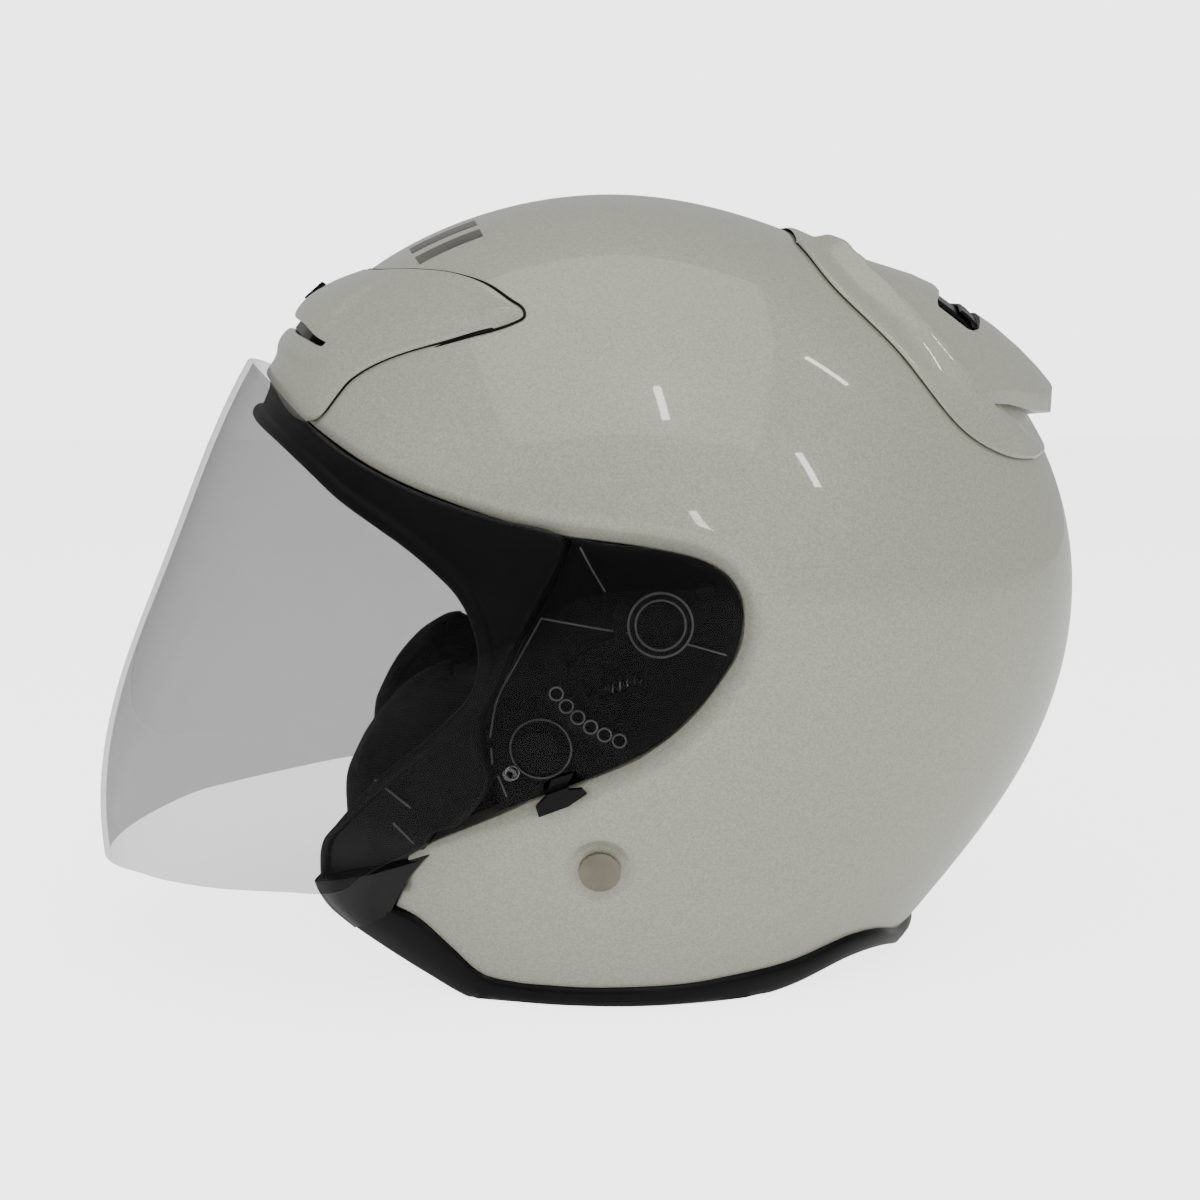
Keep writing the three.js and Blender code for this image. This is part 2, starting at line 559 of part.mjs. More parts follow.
// Brow vent: a swept hood over an intake, tapering into wings at each side.
const BROW_FRONT = [[149.6, 0], [149.9, 40], [150.2, 76], [143, 77], [137.5, 80.5], [128, 88], [119, 91.5]];
const BROW_REAR = [[130.5, 0], [128.8, 36], [124.8, 54], [120.8, 66], [117, 77], [115, 85],
  [113.6, 90.5]];
const INTAKE = { halfWidth: 50 };
function makeBrowCover() {
  const hood = (s, t) => 2.4 + 4.4 * bump(t, 0.6, 0.34) * bump(s, 0, 0.5) + 0.8 * Math.sin(Math.PI * t);
  const halves = halfCover(BROW_FRONT, BROW_REAR, 12, 7, hood);
  const across = (half) => [...half.slice(1).toReversed().map((row) => row.map(flip)), ...half];
  const [top, floor] = halves.map(across);
  const intake = overShell(INTAKE.halfWidth, 138, 143, 0.5, 3.9);
  const mouth = overShell(INTAKE.halfWidth, 141.2, 143, 0.5, 14);
  const shutterRoom = overShell(INTAKE.halfWidth - 1, 133.6, 139, 0.5, 3.1);
  const slot = overShell(5, 131.6, 139.4, 3, 14);
  return solid(slab(top, floor)).subtract(intake).subtract(mouth).subtract(shutterRoom).subtract(slot);
}
add("brow_vent_cover", makeBrowCover(), PAINT);
add("brow_vent_duct", overShell(INTAKE.halfWidth - 0.6, 139.4, 142.4, 1.3, 3.5), BLACK_PLASTIC);
// The knob slides back in the hood's slot and carries the shutter behind the intake.
const knobStem = overShell(3, 136.2, 137.8, 2, 5.4);
const knobTop = overShell(4.4, 135.6, 138.8, 4.6, 8.2);
const knobFoot = overShell(INTAKE.halfWidth - 2, 135.9, 138.3, 1.4, 2.7);
add("brow_vent_slider", knobStem.add(knobTop).add(knobFoot), BLACK_PLASTIC);

// Rear exhaust cover: two ridges beside a raised middle that ends in an overhanging lip.
const REAR_OUTER = [[66, 42], [64.6, 49], [59.7, 65], [53.8, 72], [45.6, 77.5], [38.6, 82], [31.1, 84],
  [25.9, 81], [21.5, 72], [19.4, 58]];
const REAR_MIDDLE = [67, 64, 59, 53, 46, 39, 31, 25.6, 21.2, 18].map((degrees) => [degrees, 0]);
function makeRearCover() {
  const height = (t, s) => {
    const across = 1 - s; // 1 at the outer edge, 0 in the middle
    const ridgeLine = bump(across, 0.82 - 0.06 * t, 0.12) * ramp(t, 0.02, 0.12);
    const ridge = (2.4 + 4.6 * bump(t, 0.17, 0.14)) * ridgeLine;
    const inside = 1 - ramp(across, 0.42, 0.56);
    const middle = (3 + 8 * ramp(t, 0.3, 0.75)) * inside * ramp(t, 0.2, 0.36);
    return 2 + ridge * (1 - ramp(t, 0.86, 1)) + middle * (1 - ramp(t, 0.83, 0.88));
  };
  const halves = halfCover(REAR_OUTER, REAR_MIDDLE, 15, 9, height);
  const across = (half) => half.map((row) => [...row, ...row.slice(0, -1).toReversed().map(flip)]);
  const [top, floor] = halves.map(across);
  const window = overShell(60, 37.4, 44.4, 4.4, 8.6);
  return solid(slab(top, floor)).subtract(window);
}
add("exhaust_cover", makeRearCover(), PAINT);
add("exhaust_grille", overShell(38, 38, 44, 4.8, 6.2), BLACK_PLASTIC);
// The shutter lies on the grille and slides up the shell inside the window.
add("exhaust_shutter", overShell(40, 38, 41, 7, 8.1), BLACK_PLASTIC);

// ---------------------------------------------------------------- liner
const EAR = [[-130, -12], [-20, -12], [14, -20], [26, -34], [30, -60], [30, -130], [-130, -130]];
function makeFoam() {
  const wall = bothSides(solid(prism(offset(POCKET, -6, true), 60, WIDE)).subtract(coarse(14.4)));
  const ears = bothSides(solid(prism(EAR, 20, WIDE)));
  return coarse(6.6).subtract(coarse(FOAM_INNER)).subtract(wall).subtract(ears).intersect(shellSide(9));
}
add("foam_liner", makeFoam(), FOAM);

const CROWN = [[-112, 44], [-60, 22], [20, 10], [90, 14], [160, 60], [60, 170], [-60, 170], [-170, 90]];
add(
  "crown_pad",
  coarse(FOAM_INNER + 1).subtract(coarse(PAD_INNER)).intersect(solid(prism(CROWN, -WIDE, WIDE))),
  FABRIC,
);
const NAPE = [[46, -104], [46, -70], [88, -62], [160, -70], [160, -104]];
add(
  "neck_roll",
  coarse(FOAM_INNER + 1).subtract(coarse(45)).intersect(solid(prism(NAPE, -WIDE, WIDE))),
  FABRIC,
);

const CHEEK = [[-62.9, -14.3], [-76.6, -24.1], [-90.3, -39.7], [-97.6, -53.4], [-98.6, -72], [-92, -88],
  [-74, -97], [-52, -103], [-6, -103], [8, -92], [12, -60], [8, -26], [-6, -17]];
const cheekPad = solid(prism(CHEEK, 52, 84)).intersect(coarse(10)).subtract(coarse(50));
addPair("cheek_pad", cheekPad, FABRIC);

function makeCheekFoam() {
  const wall = solid(prism(offset(POCKET, -6, true), 60, WIDE)).subtract(coarse(14.4));
  const strapRoom = solid(prism(circle(RIVET.a, RIVET.b, 48, 24), 60, WIDE));
  const block = solid(prism(offset(CHEEK, -1, true), 84.6, WIDE)).intersect(coarse(9.4));
  return block.subtract(wall).subtract(strapRoom).intersect(shellSide(9));
}
addPair("cheek_foam", makeCheekFoam(), FOAM);

// ---------------------------------------------------------------- chin strap
// The strap hangs as a U from the two rivets. Its shape is flat in X and the distance below the
// rivets, and it is as wide as the webbing along Y.
const HANG = { y: PIVOT.y + RIVET.a, z: PIVOT.z + RIVET.b };
function webbing(path) {
  const points = path.map(([x, drop]) => at(x, 0, HANG.z - drop));
  const curve = new THREE.CatmullRomCurve3(points, false, "centripetal");
  const corners = [[1, 1], [1, -1], [-1, -1], [-1, 1]];
  const steps = path.length * 2;
  const middle = curve.getPoints(steps);
  const sections = middle.map((p, i) => {
    const along = curve.getTangent(i / steps);
    const out = at(-along.z, 0, along.x).setLength(STRAP.thickness / 2);
    const half = at(0, STRAP.width / 2, 0);
    const centre = p.clone().setY(HANG.y);
    return corners.map(([u, v]) => centre.clone().addScaledVector(out, u).addScaledVector(half, v));
  });
  return loft(sections, corners);
}
const SIDE_RUN = [[99.4, 5], [99.2, 12], [96.4, 23], [90.6, 33], [83.5, 39.3], [74, 41.2]];
const LONG_RUN = [...SIDE_RUN, [40, 41.4], [0, 41.4], [-34, 41.4], [-44, 41.6], [-48.6, 40], [-50.2, 37],
  [-48.6, 33.8], [-44, 32.3], [-37, 33], [-29, 36.6], [-20, 38.6], [8, 38.8], [38, 38.8]];
const SHORT_RUN = [...SIDE_RUN.map(([x, drop]) => [-x, drop]), [-66, 41.4], [-58, 41.4], [-55.4, 40],
  [-54.7, 37.4], [-55.4, 34.6], [-58, 33.2], [-64, 34.6], [-70, 37.4], [-76, 38.6]];
add("chin_strap_long", webbing(LONG_RUN), WEBBING);
add("chin_strap_short", webbing(SHORT_RUN), WEBBING);

// A closed ring of round wire through the given [x, y] points at one drop below the rivets.
function wireRing(points, drop, radius) {
  const path = new THREE.CatmullRomCurve3(points.map(([x, y]) => at(x, y, 0)), true, "centripetal");
  const steps = 22;
  const sections = range(steps, (i) => {
    const p = path.getPoint(i / steps);
    const tangent = path.getTangent(i / steps);
    const side = at(-tangent.y, tangent.x, 0);
    return range(6, (k) => {
      const angle = (k * Math.PI) / 3;
      return at(p.x, HANG.y + p.y, HANG.z - drop)
        .addScaledVector(side, radius * Math.cos(angle))
        .add(at(0, 0, radius * Math.sin(angle)));
    });
  });
  const corners = [];
  sections.forEach((ring, i) => {
    const after = sections[(i + 1) % steps];
    ring.forEach((p, k) => {
      const next = (k + 1) % 6;
      corners.push(p, after[k], after[next], p, after[next], ring[next]);
    });
  });
  return closed(corners);
}
const D_RING = [[-58, -12.6], [-58, -6], [-58, 6], [-58, 12.6], [-52, 13.4], [-45, 11.4], [-41.4, 6],
  [-40.6, 0], [-41.4, -6], [-45, -11.4], [-52, -13.4]];
add("d_ring_lower", wireRing(D_RING, 38.7, 1.3), STEEL);
add("d_ring_upper", wireRing(D_RING, 35.8, 1.3), STEEL);
const snapRing = new THREE.CylinderGeometry(5, 5, 1.2, 20).rotateX(Math.PI / 2);
add("strap_snap", snapRing.translate(26, HANG.y, HANG.z - 37), BLACK_PLASTIC);

// Anchor plates turn on the rivets' shanks and carry the webbing.
const ANCHOR = { inner: 100.8, outer: 102.2 };
const anchorDisc = solid(prism(circle(RIVET.a, RIVET.b, 8, 20), ANCHOR.inner, ANCHOR.outer));
const tabOutline = [[-9, 0], [-9, -14], [9, -14], [9, 0]].map(([a, b]) => [a + RIVET.a, b + RIVET.b]);
const anchorTab = solid(prism(tabOutline, ANCHOR.inner, ANCHOR.outer));
const shankRoom = solid(prism(circle(RIVET.a, RIVET.b, RIVET.shankRadius + 0.4, 16), 90, 112));
addPair("strap_anchor", anchorDisc.add(anchorTab).subtract(shankRoom), STEEL);

const rivetCap = plate(circle(RIVET.a, RIVET.b, RIVET.capRadius, 18), -0.6, 1.3);
const rivetShank = solid(prism(circle(RIVET.a, RIVET.b, RIVET.shankRadius, 12), ANCHOR.inner - 0.8, 115));
const rivetHead = solid(prism(circle(RIVET.a, RIVET.b, 4.6, 12), ANCHOR.inner - 1.6, ANCHOR.inner - 0.4));
addPair("strap_rivet", rivetCap.add(rivetShank).add(rivetHead), BRONZE);

export default helmet;
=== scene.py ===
"""Looks for the open face helmet: painted shell, clear shield, edgings, mechanism, liner and strap.

Lengths in this file are millimetres, and become metres where a mesh is made. The shell's and the
shield's skins repeat the driving numbers of the CAD part, so that every piece lies on them."""
import math

import bmesh
import bpy
import numpy as np
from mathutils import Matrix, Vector
from mathutils.bvhtree import BVHTree
from mathutils.geometry import delaunay_2d_cdt


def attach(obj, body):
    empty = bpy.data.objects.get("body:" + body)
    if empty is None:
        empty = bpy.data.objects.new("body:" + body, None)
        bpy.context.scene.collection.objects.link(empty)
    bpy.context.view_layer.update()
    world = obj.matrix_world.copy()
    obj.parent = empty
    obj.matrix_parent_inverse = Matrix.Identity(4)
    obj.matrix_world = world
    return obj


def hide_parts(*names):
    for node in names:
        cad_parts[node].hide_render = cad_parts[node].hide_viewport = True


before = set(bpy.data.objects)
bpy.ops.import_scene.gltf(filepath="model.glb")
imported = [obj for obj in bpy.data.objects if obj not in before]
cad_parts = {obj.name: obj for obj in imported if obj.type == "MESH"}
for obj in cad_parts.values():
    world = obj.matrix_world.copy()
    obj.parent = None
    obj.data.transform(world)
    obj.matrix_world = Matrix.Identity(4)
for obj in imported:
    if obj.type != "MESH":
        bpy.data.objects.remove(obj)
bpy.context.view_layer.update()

MM = 0.001
PIVOT_Y, PIVOT_Z = 15.0, 119.5
HALF_PI = math.pi / 2
# Directions in a skin's chart.
CHART_UP, CHART_BACK = np.array([0.0, 1.0]), np.array([1.0, 0.0])


# ---------------------------------------------------------------- camera, floor and lights
CAMERA_PLACE = Vector((0.620, -0.030, 0.186))
CAMERA_AIM = Vector((0.0, 0.0047, 0.1122))
LIGHTS_AIM = Vector((0.0, 0.0, 0.12))
FLOOR_HALF, FLOOR_DROP = 6.0, 0.0004
# How strongly floor and backdrop light the helmet, and how bright the camera sees them.
FLOOR_LIT, FLOOR_SEEN = 0.3, 2.95
WORLD_LIT, WORLD_SEEN = 0.5, 3.6
# Large soft lights that leave no reflection in the paint: name, place, power.
FILL_LIGHTS = [("front", (0.9, -1.3, 0.9), 7.0), ("side", (2.0, 0.9, 0.8), 11.0)]
# Narrow lamps that show as short bright streaks in the paint: place, power.
STRIP_LAMPS = [((0.75, 0.16, 0.95), 0.5), ((0.9, 0.75, 0.8), 0.55), ((0.25, 0.9, 1.3), 0.5),
               ((1.3, 0.3, 0.45), 0.4)]


def add_camera():
    data = bpy.data.cameras.new("camera")
    data.sensor_width, data.lens = 36.0, 53.3
    data.clip_start, data.clip_end = 0.01, 20.0
    camera = bpy.data.objects.new("camera", data)
    bpy.context.scene.collection.objects.link(camera)
    camera.location = CAMERA_PLACE
    camera.rotation_euler = (CAMERA_AIM - CAMERA_PLACE).to_track_quat("-Z", "Y").to_euler()
    bpy.context.scene.camera = camera


def ranged(tree, factor, low, high):
    """A factor from 0 to 1 carried over to the range from low to high."""
    made = tree.nodes.new("ShaderNodeMapRange")
    made.inputs["To Min"].default_value, made.inputs["To Max"].default_value = low, high
    tree.links.new(factor, made.inputs["Value"])
    return made.outputs["Result"]


def glow(tree, lit, seen):
    """A strength that differs between the light given and what the camera looks at."""
    return ranged(tree, tree.nodes.new("ShaderNodeLightPath").outputs["Is Camera Ray"], lit, seen)


def add_floor():
    corners = [(-1, -1), (1, -1), (1, 1), (-1, 1)]
    mesh = bpy.data.meshes.new("floor")
    mesh.from_pydata([(u * FLOOR_HALF, v * FLOOR_HALF, -FLOOR_DROP) for u, v in corners], [], [(0, 1, 2, 3)])
    floor = bpy.data.objects.new("floor", mesh)
    bpy.context.scene.collection.objects.link(floor)
    paper = Shader("floor_paper", (0.86, 0.86, 0.86), 0.9)
    paper.bump(paper.noise(900.0, 3.0), 0.02)
    mesh.materials.append(paper.material)
    paper.set("Emission Color", (1.0, 1.0, 1.0, 1.0))
    paper.link(glow(paper.tree, FLOOR_LIT, FLOOR_SEEN), "Emission Strength")


def add_world():
    world = bpy.data.worlds.new("studio")
    world.use_nodes = True
    tree = world.node_tree
    backdrop = tree.nodes["Background"].inputs
    tree.links.new(glow(tree, WORLD_LIT, WORLD_SEEN), backdrop["Strength"])
    backdrop["Color"].default_value = (1.0, 1.0, 1.0, 1.0)
    bpy.context.scene.world = world


def add_light(name, place, size, power):
    data = bpy.data.lights.new(name, "AREA")
    data.shape, data.size, data.size_y = "RECTANGLE", size[0], size[1]
    data.energy = power
    light = bpy.data.objects.new(name, data)
    bpy.context.scene.collection.objects.link(light)
    light.location = place
    light.rotation_euler = (LIGHTS_AIM - Vector(place)).to_track_quat("-Z", "Y").to_euler()
    return light


def add_lights():
    add_light("overhead", (0.5, 0.0, 1.7), (1.8, 2.2), 11.0)
    for name, place, power in FILL_LIGHTS:
        add_light(name, place, (0.9, 0.9), power).visible_glossy = False
    for i, (place, power) in enumerate(STRIP_LAMPS):
        add_light("strip_lamp_%d" % i, place, (0.035, 0.2), power)

# ---------------------------------------------------------------- materials
# A wave texture of scale 1 repeats every 0.314 of a length unit.
WAVE_LENGTH = 0.314


class Shader:
    """A Principled material with helpers that hang procedural texture on it."""

    def __init__(self, name, colour, roughness, metallic=0.0, **sockets):
        self.material = bpy.data.materials.new(name)
        self.material.use_nodes = True
        self.tree = self.material.node_tree
        self.surface = self.tree.nodes["Principled BSDF"]
        self.set("Base Color", (*colour, 1.0))
        self.set("Roughness", roughness)
        self.set("Metallic", metallic)
        for socket, value in sockets.items():
            self.set(socket.replace("_", " "), value)
        self.place = self.tree.nodes.new("ShaderNodeTexCoord").outputs["Object"]

    def set(self, socket, value):
        self.surface.inputs[socket].default_value = value

    def node(self, kind, **links):
        """A new node; i0 and i1 name its sockets by number."""
        made = self.tree.nodes.new(kind)
        for socket, value in links.items():
            slot = made.inputs[int(socket[1:]) if socket in ("i0", "i1") else socket]
            if isinstance(value, bpy.types.NodeSocket):
                self.tree.links.new(value, slot)
            else:
                slot.default_value = value
        return made

    def link(self, output, socket):
        self.tree.links.new(output, self.surface.inputs[socket])

    def noise(self, scale, detail):
        made = self.node("ShaderNodeTexNoise", Vector=self.place)
        made.inputs["Scale"].default_value = scale
        made.inputs["Detail"].default_value = detail
        return made.outputs["Fac"]

    def cells(self, scale):
        made = self.node("ShaderNodeTexVoronoi", Vector=self.place)
        made.inputs["Scale"].default_value = scale
        return made.outputs

    def blend(self, factor, low, high, start=0.0, end=1.0):
        made = self.node("ShaderNodeValToRGB", Fac=factor)
        made.color_ramp.elements[0].position, made.color_ramp.elements[1].position = start, end
        made.color_ramp.elements[0].color = (*low, 1.0)
        made.color_ramp.elements[1].color = (*high, 1.0)
        return made.outputs["Color"]

    def vary(self, factor, low, high, start, end):
        self.link(self.blend(factor, low, high, start, end), "Base Color")

    def vary_roughness(self, factor, low, high):
        self.link(ranged(self.tree, factor, low, high), "Roughness")

    def bump(self, height, distance_mm, strength=1.0, socket="Normal"):
        made = self.node("ShaderNodeBump", Height=height)
        made.inputs["Distance"].default_value = distance_mm * MM
        made.inputs["Strength"].default_value = strength
        self.link(made.outputs["Normal"], socket)

    def weave(self, pitch_mm):
        """Height of crossing threads, pitch_mm apart."""
        turn = self.node("ShaderNodeMapping", Vector=self.place, Rotation=(0.0, 0.0, 0.6))
        waves = []
        for direction in ("X", "Y", "Z"):
            wave = self.node("ShaderNodeTexWave", Vector=turn.outputs["Vector"])
            wave.bands_direction = direction
            wave.inputs["Scale"].default_value = WAVE_LENGTH / (pitch_mm * MM)
            wave.inputs["Distortion"].default_value = 0.3
            waves.append(wave.outputs["Fac"])
        mix = self.node("ShaderNodeMath", i0=waves[0], i1=waves[1])
        mix.operation = "MULTIPLY"
        both = self.node("ShaderNodeMath", i0=mix.outputs[0], i1=waves[2])
        both.operation = "ADD"
        return both.outputs[0]


# The share by which moulded finishes are lighter and darker in places.
UNEVEN = 0.25


def pearl_paint():
    """Fine mineral flakes under a clear coat."""
    paint = Shader("pearl_paint", (0.36, 0.36, 0.31), 0.38, 0.12, Coat_Weight=1.0, Coat_Roughness=0.035)
    flakes = paint.cells(2300.0)["Color"]
    paint.vary(flakes, (0.335, 0.337, 0.262), (0.425, 0.427, 0.345), 0.2, 0.85)
    paint.bump(paint.noise(1700.0, 2.0), 0.05, 0.25)
    paint.bump(paint.noise(150.0, 1.0), 0.02, 0.12, "Coat Normal")
    return paint.material


def smoke_glass():
    """Thin tinted glass: what lies behind shows through darkened, and it mirrors the lights by its slope."""
    glass = Shader("smoke_glass", (0.5, 0.5, 0.5), 0.03)
    tree = glass.tree
    tint = glass.blend(glass.noise(9.0, 3.0), (0.612, 0.608, 0.612), (0.632, 0.628, 0.632))
    through = glass.node("ShaderNodeBsdfTransparent", Color=tint)
    gloss = glass.node("ShaderNodeBsdfGlossy")
    gloss.inputs["Color"].default_value = (0.95, 0.95, 0.97, 1.0)
    gloss.inputs["Roughness"].default_value = 0.03
    facing = glass.node("ShaderNodeLayerWeight")
    facing.inputs["Blend"].default_value = 0.5
    power = glass.node("ShaderNodeMath", i0=facing.outputs["Facing"], i1=4.0)
    power.operation = "POWER"
    mix = glass.node("ShaderNodeMixShader", Fac=ranged(tree, power.outputs[0], 0.006, 0.4))
    tree.links.new(through.outputs[0], mix.inputs[1])
    tree.links.new(gloss.outputs[0], mix.inputs[2])
    tree.links.new(mix.outputs[0], tree.nodes["Material Output"].inputs["Surface"])
    tree.nodes.remove(glass.surface)
    return glass.material


def plain(name, colour, roughness, grain, depth, metallic=0.0, **sockets):
    """A moulded or metal finish with a fine grain, a little uneven in colour and gloss."""
    made = Shader(name, colour, roughness, metallic, **sockets)
    dark = tuple(c * (1 - UNEVEN) for c in colour)
    light = tuple(c * (1 + UNEVEN) for c in colour)
    made.vary(made.noise(60.0, 4.0), dark, light, 0.3, 0.7)
    made.vary_roughness(made.noise(35.0, 3.0), roughness * 0.8, min(1.0, roughness * 1.25))
    made.bump(made.noise(grain, 3.0), depth)
    return made.material


def cloth(name, dark, light, pitch, sheen):
    """A woven or knitted cover with threads pitch millimetres apart."""
    made = Shader(name, dark, 0.95, Sheen_Weight=sheen, Sheen_Roughness=0.4)
    made.vary(made.noise(420.0, 3.0), dark, light, 0.35, 0.7)
    made.bump(made.weave(pitch), pitch * 0.25, 0.8)
    return made.material


PAINT = pearl_paint()
GLASS = smoke_glass()
GLOSS_BLACK = plain("gloss_black", (0.003, 0.003, 0.003), 0.1, 300.0, 0.004, Specular_IOR_Level=0.3)
SATIN_BLACK = plain("satin_black", (0.0025, 0.0025, 0.0025), 0.3, 500.0, 0.003, Specular_IOR_Level=0.16)
RUBBER = plain("edge_rubber_black", (0.014, 0.0145, 0.014), 0.42, 450.0, 0.004, Specular_IOR_Level=0.35)
MOULDED = plain("moulded_black", (0.006, 0.006, 0.0062), 0.3, 500.0, 0.003, Specular_IOR_Level=0.15)
# Light grey cords on the black mechanism and beading: painted highlights along their edges and rings.
EDGE_HIGHLIGHT = plain("painted_edge_highlight", (0.30, 0.30, 0.30), 0.15, 1200.0, 0.003)
# Light grey rims round the rack's notches: painted highlights on the black rack.
NOTCH_HIGHLIGHT = plain("painted_notch_highlight", (0.42, 0.42, 0.42), 0.2, 1200.0, 0.004)
PIPING = plain("piping_tape", (0.02, 0.02, 0.022), 0.8, 1500.0, 0.05)
THREAD = plain("sewing_thread", (0.09, 0.09, 0.095), 0.7, 2500.0, 0.04)
BRIGHT_EDGE = plain("smooth_plastic", (0.012, 0.012, 0.012), 0.18, 600.0, 0.003, Specular_IOR_Level=0.35)
STEEL = plain("bright_steel", (0.62, 0.62, 0.63), 0.26, 900.0, 0.01, 1.0)
BRONZE = plain("rivet_bronze_face", (0.23, 0.21, 0.165), 0.42, 1400.0, 0.03, 0.9)
FOAM = plain("pressed_foam", (0.035, 0.035, 0.037), 0.85, 500.0, 0.25)
MARK = plain("mark_grey", (0.11, 0.105, 0.085), 0.3, 900.0, 0.01, 0.6)
FABRIC = cloth("brushed_knit", (0.018, 0.018, 0.020), (0.034, 0.034, 0.037), 0.8, 0.25)
MESH_CLOTH = cloth("crown_knit", (0.016, 0.016, 0.018), (0.03, 0.03, 0.033), 1.2, 0.25)
WEBBING = cloth("nylon_weave", (0.010, 0.010, 0.011), (0.022, 0.022, 0.024), 0.9, 0.2)


# ---------------------------------------------------------------- skins
class Skin:
    """Places on it are chart points: the direction is the angle about the pivot in the side view, and
    the length runs from 0 on the pivot's axis to a quarter turn on the centre line."""

    def __init__(self, radii, half_width, bulge):
        r = np.array(radii, float)
        self.controls = r - (np.roll(r, -1) - 2 * r + np.roll(r, 1)) / 6
        self.half_width, self.bulge = half_width, bulge

    def radius(self, theta):
        count = len(self.controls)
        t = (theta / (2 * math.pi) * count) % count
        i = np.floor(t).astype(int)
        f = t - i
        c = lambda k: self.controls[(i + k) % count]
        ease = (1 - f) ** 3 * c(-1) + (3 * f ** 3 - 6 * f ** 2 + 4) * c(0)
        return (ease + (-3 * f ** 3 + 3 * f ** 2 + 3 * f + 1) * c(1) + f ** 3 * c(2)) / 6

    def on(self, chart, depth=0.0):
        chart = np.asarray(chart, float)
        theta = np.arctan2(chart[..., 1], chart[..., 0])
        phi = np.hypot(chart[..., 0], chart[..., 1])
        rho = (self.radius(theta) - depth) * np.abs(np.sin(phi)) ** (2 / self.bulge)
        x = (self.half_width - depth) * np.cos(phi)
        return np.stack([x, PIVOT_Y + rho * np.cos(theta), PIVOT_Z + rho * np.sin(theta)], -1)

    def chart(self, a, b):
        if b == "centre":
            theta, phi = math.radians(a), HALF_PI
        else:
            theta = math.atan2(b, a)
            share = min(1.0, math.hypot(a, b) / float(self.radius(np.array(theta))))
            phi = math.asin(share ** (self.bulge / 2))
        return np.array([phi * math.cos(theta), phi * math.sin(theta)])

    def over(self, degrees, x, height=0.0):
        """Places by angle about the pivot, distance from the centre plane and height over the skin."""
        phi = np.arccos(np.clip(np.asarray(x, float) / (self.half_width + height), -1, 1))
        theta = np.radians(degrees)
        chart = np.stack([phi * np.cos(theta), phi * np.sin(theta)], -1)
        return self.on(chart, -np.asarray(height, float))

    def along(self, places, steps):
        """Chart points on a smooth curve through places, square to the centre line where it ends there."""
        path = [self.chart(*p) for p in places]
        beyond = lambda p: p * (math.pi - np.linalg.norm(p)) / np.linalg.norm(p)
        before = [beyond(path[1])] if places[0][1] == "centre" else []
        after = [beyond(path[-2])] if places[-1][1] == "centre" else []
        full = before + path + after
        return spline(full, np.linspace(len(before), len(full) - 1 - len(after), steps + 1))

    def scale(self, chart, direction):
        """Millimetres per chart unit at a place, in a direction."""
        step = 0.01
        return np.linalg.norm(self.on(chart + step * direction) - self.on(chart), axis=-1) / step


def spline(points, at):
    """Centripetal Catmull-Rom through points, at the given span positions."""
    p = np.array(points, float)
    p = np.vstack([2 * p[0] - p[1], p, 2 * p[-1] - p[-2]])
    at = np.clip(np.asarray(at, float), 0, len(points) - 1 - 1e-9)
    i = np.floor(at).astype(int)
    f = (at - i)[:, None]
    a, b, c, d = p[i], p[i + 1], p[i + 2], p[i + 3]
    gap = lambda u, v: np.maximum(np.linalg.norm(v - u, axis=1)[:, None] ** 0.5, 1e-4)
    g0, g1, g2 = gap(a, b), gap(b, c), gap(c, d)
    start = ((b - a) / g0 - (c - a) / (g0 + g1) + (c - b) / g1) * g1
    end = ((c - b) / g1 - (d - b) / (g1 + g2) + (d - c) / g2) * g1
    return ((2 * f ** 3 - 3 * f ** 2 + 1) * b + (f ** 3 - 2 * f ** 2 + f) * start
            + (-2 * f ** 3 + 3 * f ** 2) * c + (f ** 3 - f ** 2) * end)


def smooth(places, count):
    return spline(places, np.linspace(0, len(places) - 1, count))


def bump(t, middle, spread):
    """A hill of height 1 at the middle."""
    return np.exp(-(((t - middle) / spread) ** 2))


def ramp(t, low, high):
    """A soft rise from 0 at low to 1 at high."""
    t = np.clip((t - low) / (high - low), 0, 1)
    return t * t * (3 - 2 * t)


shell = Skin([153, 148, 137, 130.6, 132, 135, 139.8, 142.5, 146, 152, 164, 180, 190, 165, 149.6, 151],
             124, 2.2)
pane = Skin([160, 160, 160, 156, 153, 152.5, 152, 151.5, 162, 200, 219, 215, 200, 180, 165, 160],
            126.8, 2.1)

# Lines on the skins, as places (back, up) from the pivot in the side view. (angle, "centre") is a place
# on the centre line.
LIP = [
    [-125.4, 74.9], [-114.7, 65.2], [-100.1, 54.2], [-82.1, 43.4], [-60.4, 34.7], [-31.2, 26.3],
    [-3.1, 22.3], [10.9, 19.2], [19.4, 14.7], [24.4, 6.8], [24.4, -1.6], [21.6, -11.5], [15.2, -21.3],
    [6.7, -30.4], [-3.1, -37.8], [-14.3, -43.7], [-24.1, -48.3], [-39.6, -54.5], [-54, -61.6],
    [-65.8, -67.5], [-73.4, -72.7]
]
PORT_EDGE = [
    [155.6, "centre"], [-117.8, 52.2], [-106.5, 44.3], [-93.7, 34.2], [-82.1, 26.8], [-73.8, 21.4],
    [-64.8, 14.3], [-58.2, 7.6], [-54, -0.4], [-52.2, -8.8], [-52.8, -16.2], [-56.1, -23.5], [-61.6, -29.6],
    [-69.3, -37.1], [-83.4, -50], [-96.6, -66.3], [-101.8, -74.2], [-103.2, -87.6]
]
PORT_FLANGE = [
    [149.5, "centre"], [-114.2, 64.2], [-103.2, 55.9], [-90.2, 47.1], [-76.5, 40.2], [-63, 34.9],
    [-47, 30.2], [-27.8, 24.2], [-36.9, 2.5], [-42.2, -7.4], [-47.7, -19.8], [-51.4, -27.5], [-51.9, -36],
    [-49.4, -47.5], [-58, -61.2], [-66, -64.8], [-67.6, -68.8], [-66.6, -76.2]
]
CORNER_EDGE = [
    [-102.6, -85.2], [-101.6, -88.2], [-98.6, -92.8], [-90.4, -98.9]
]
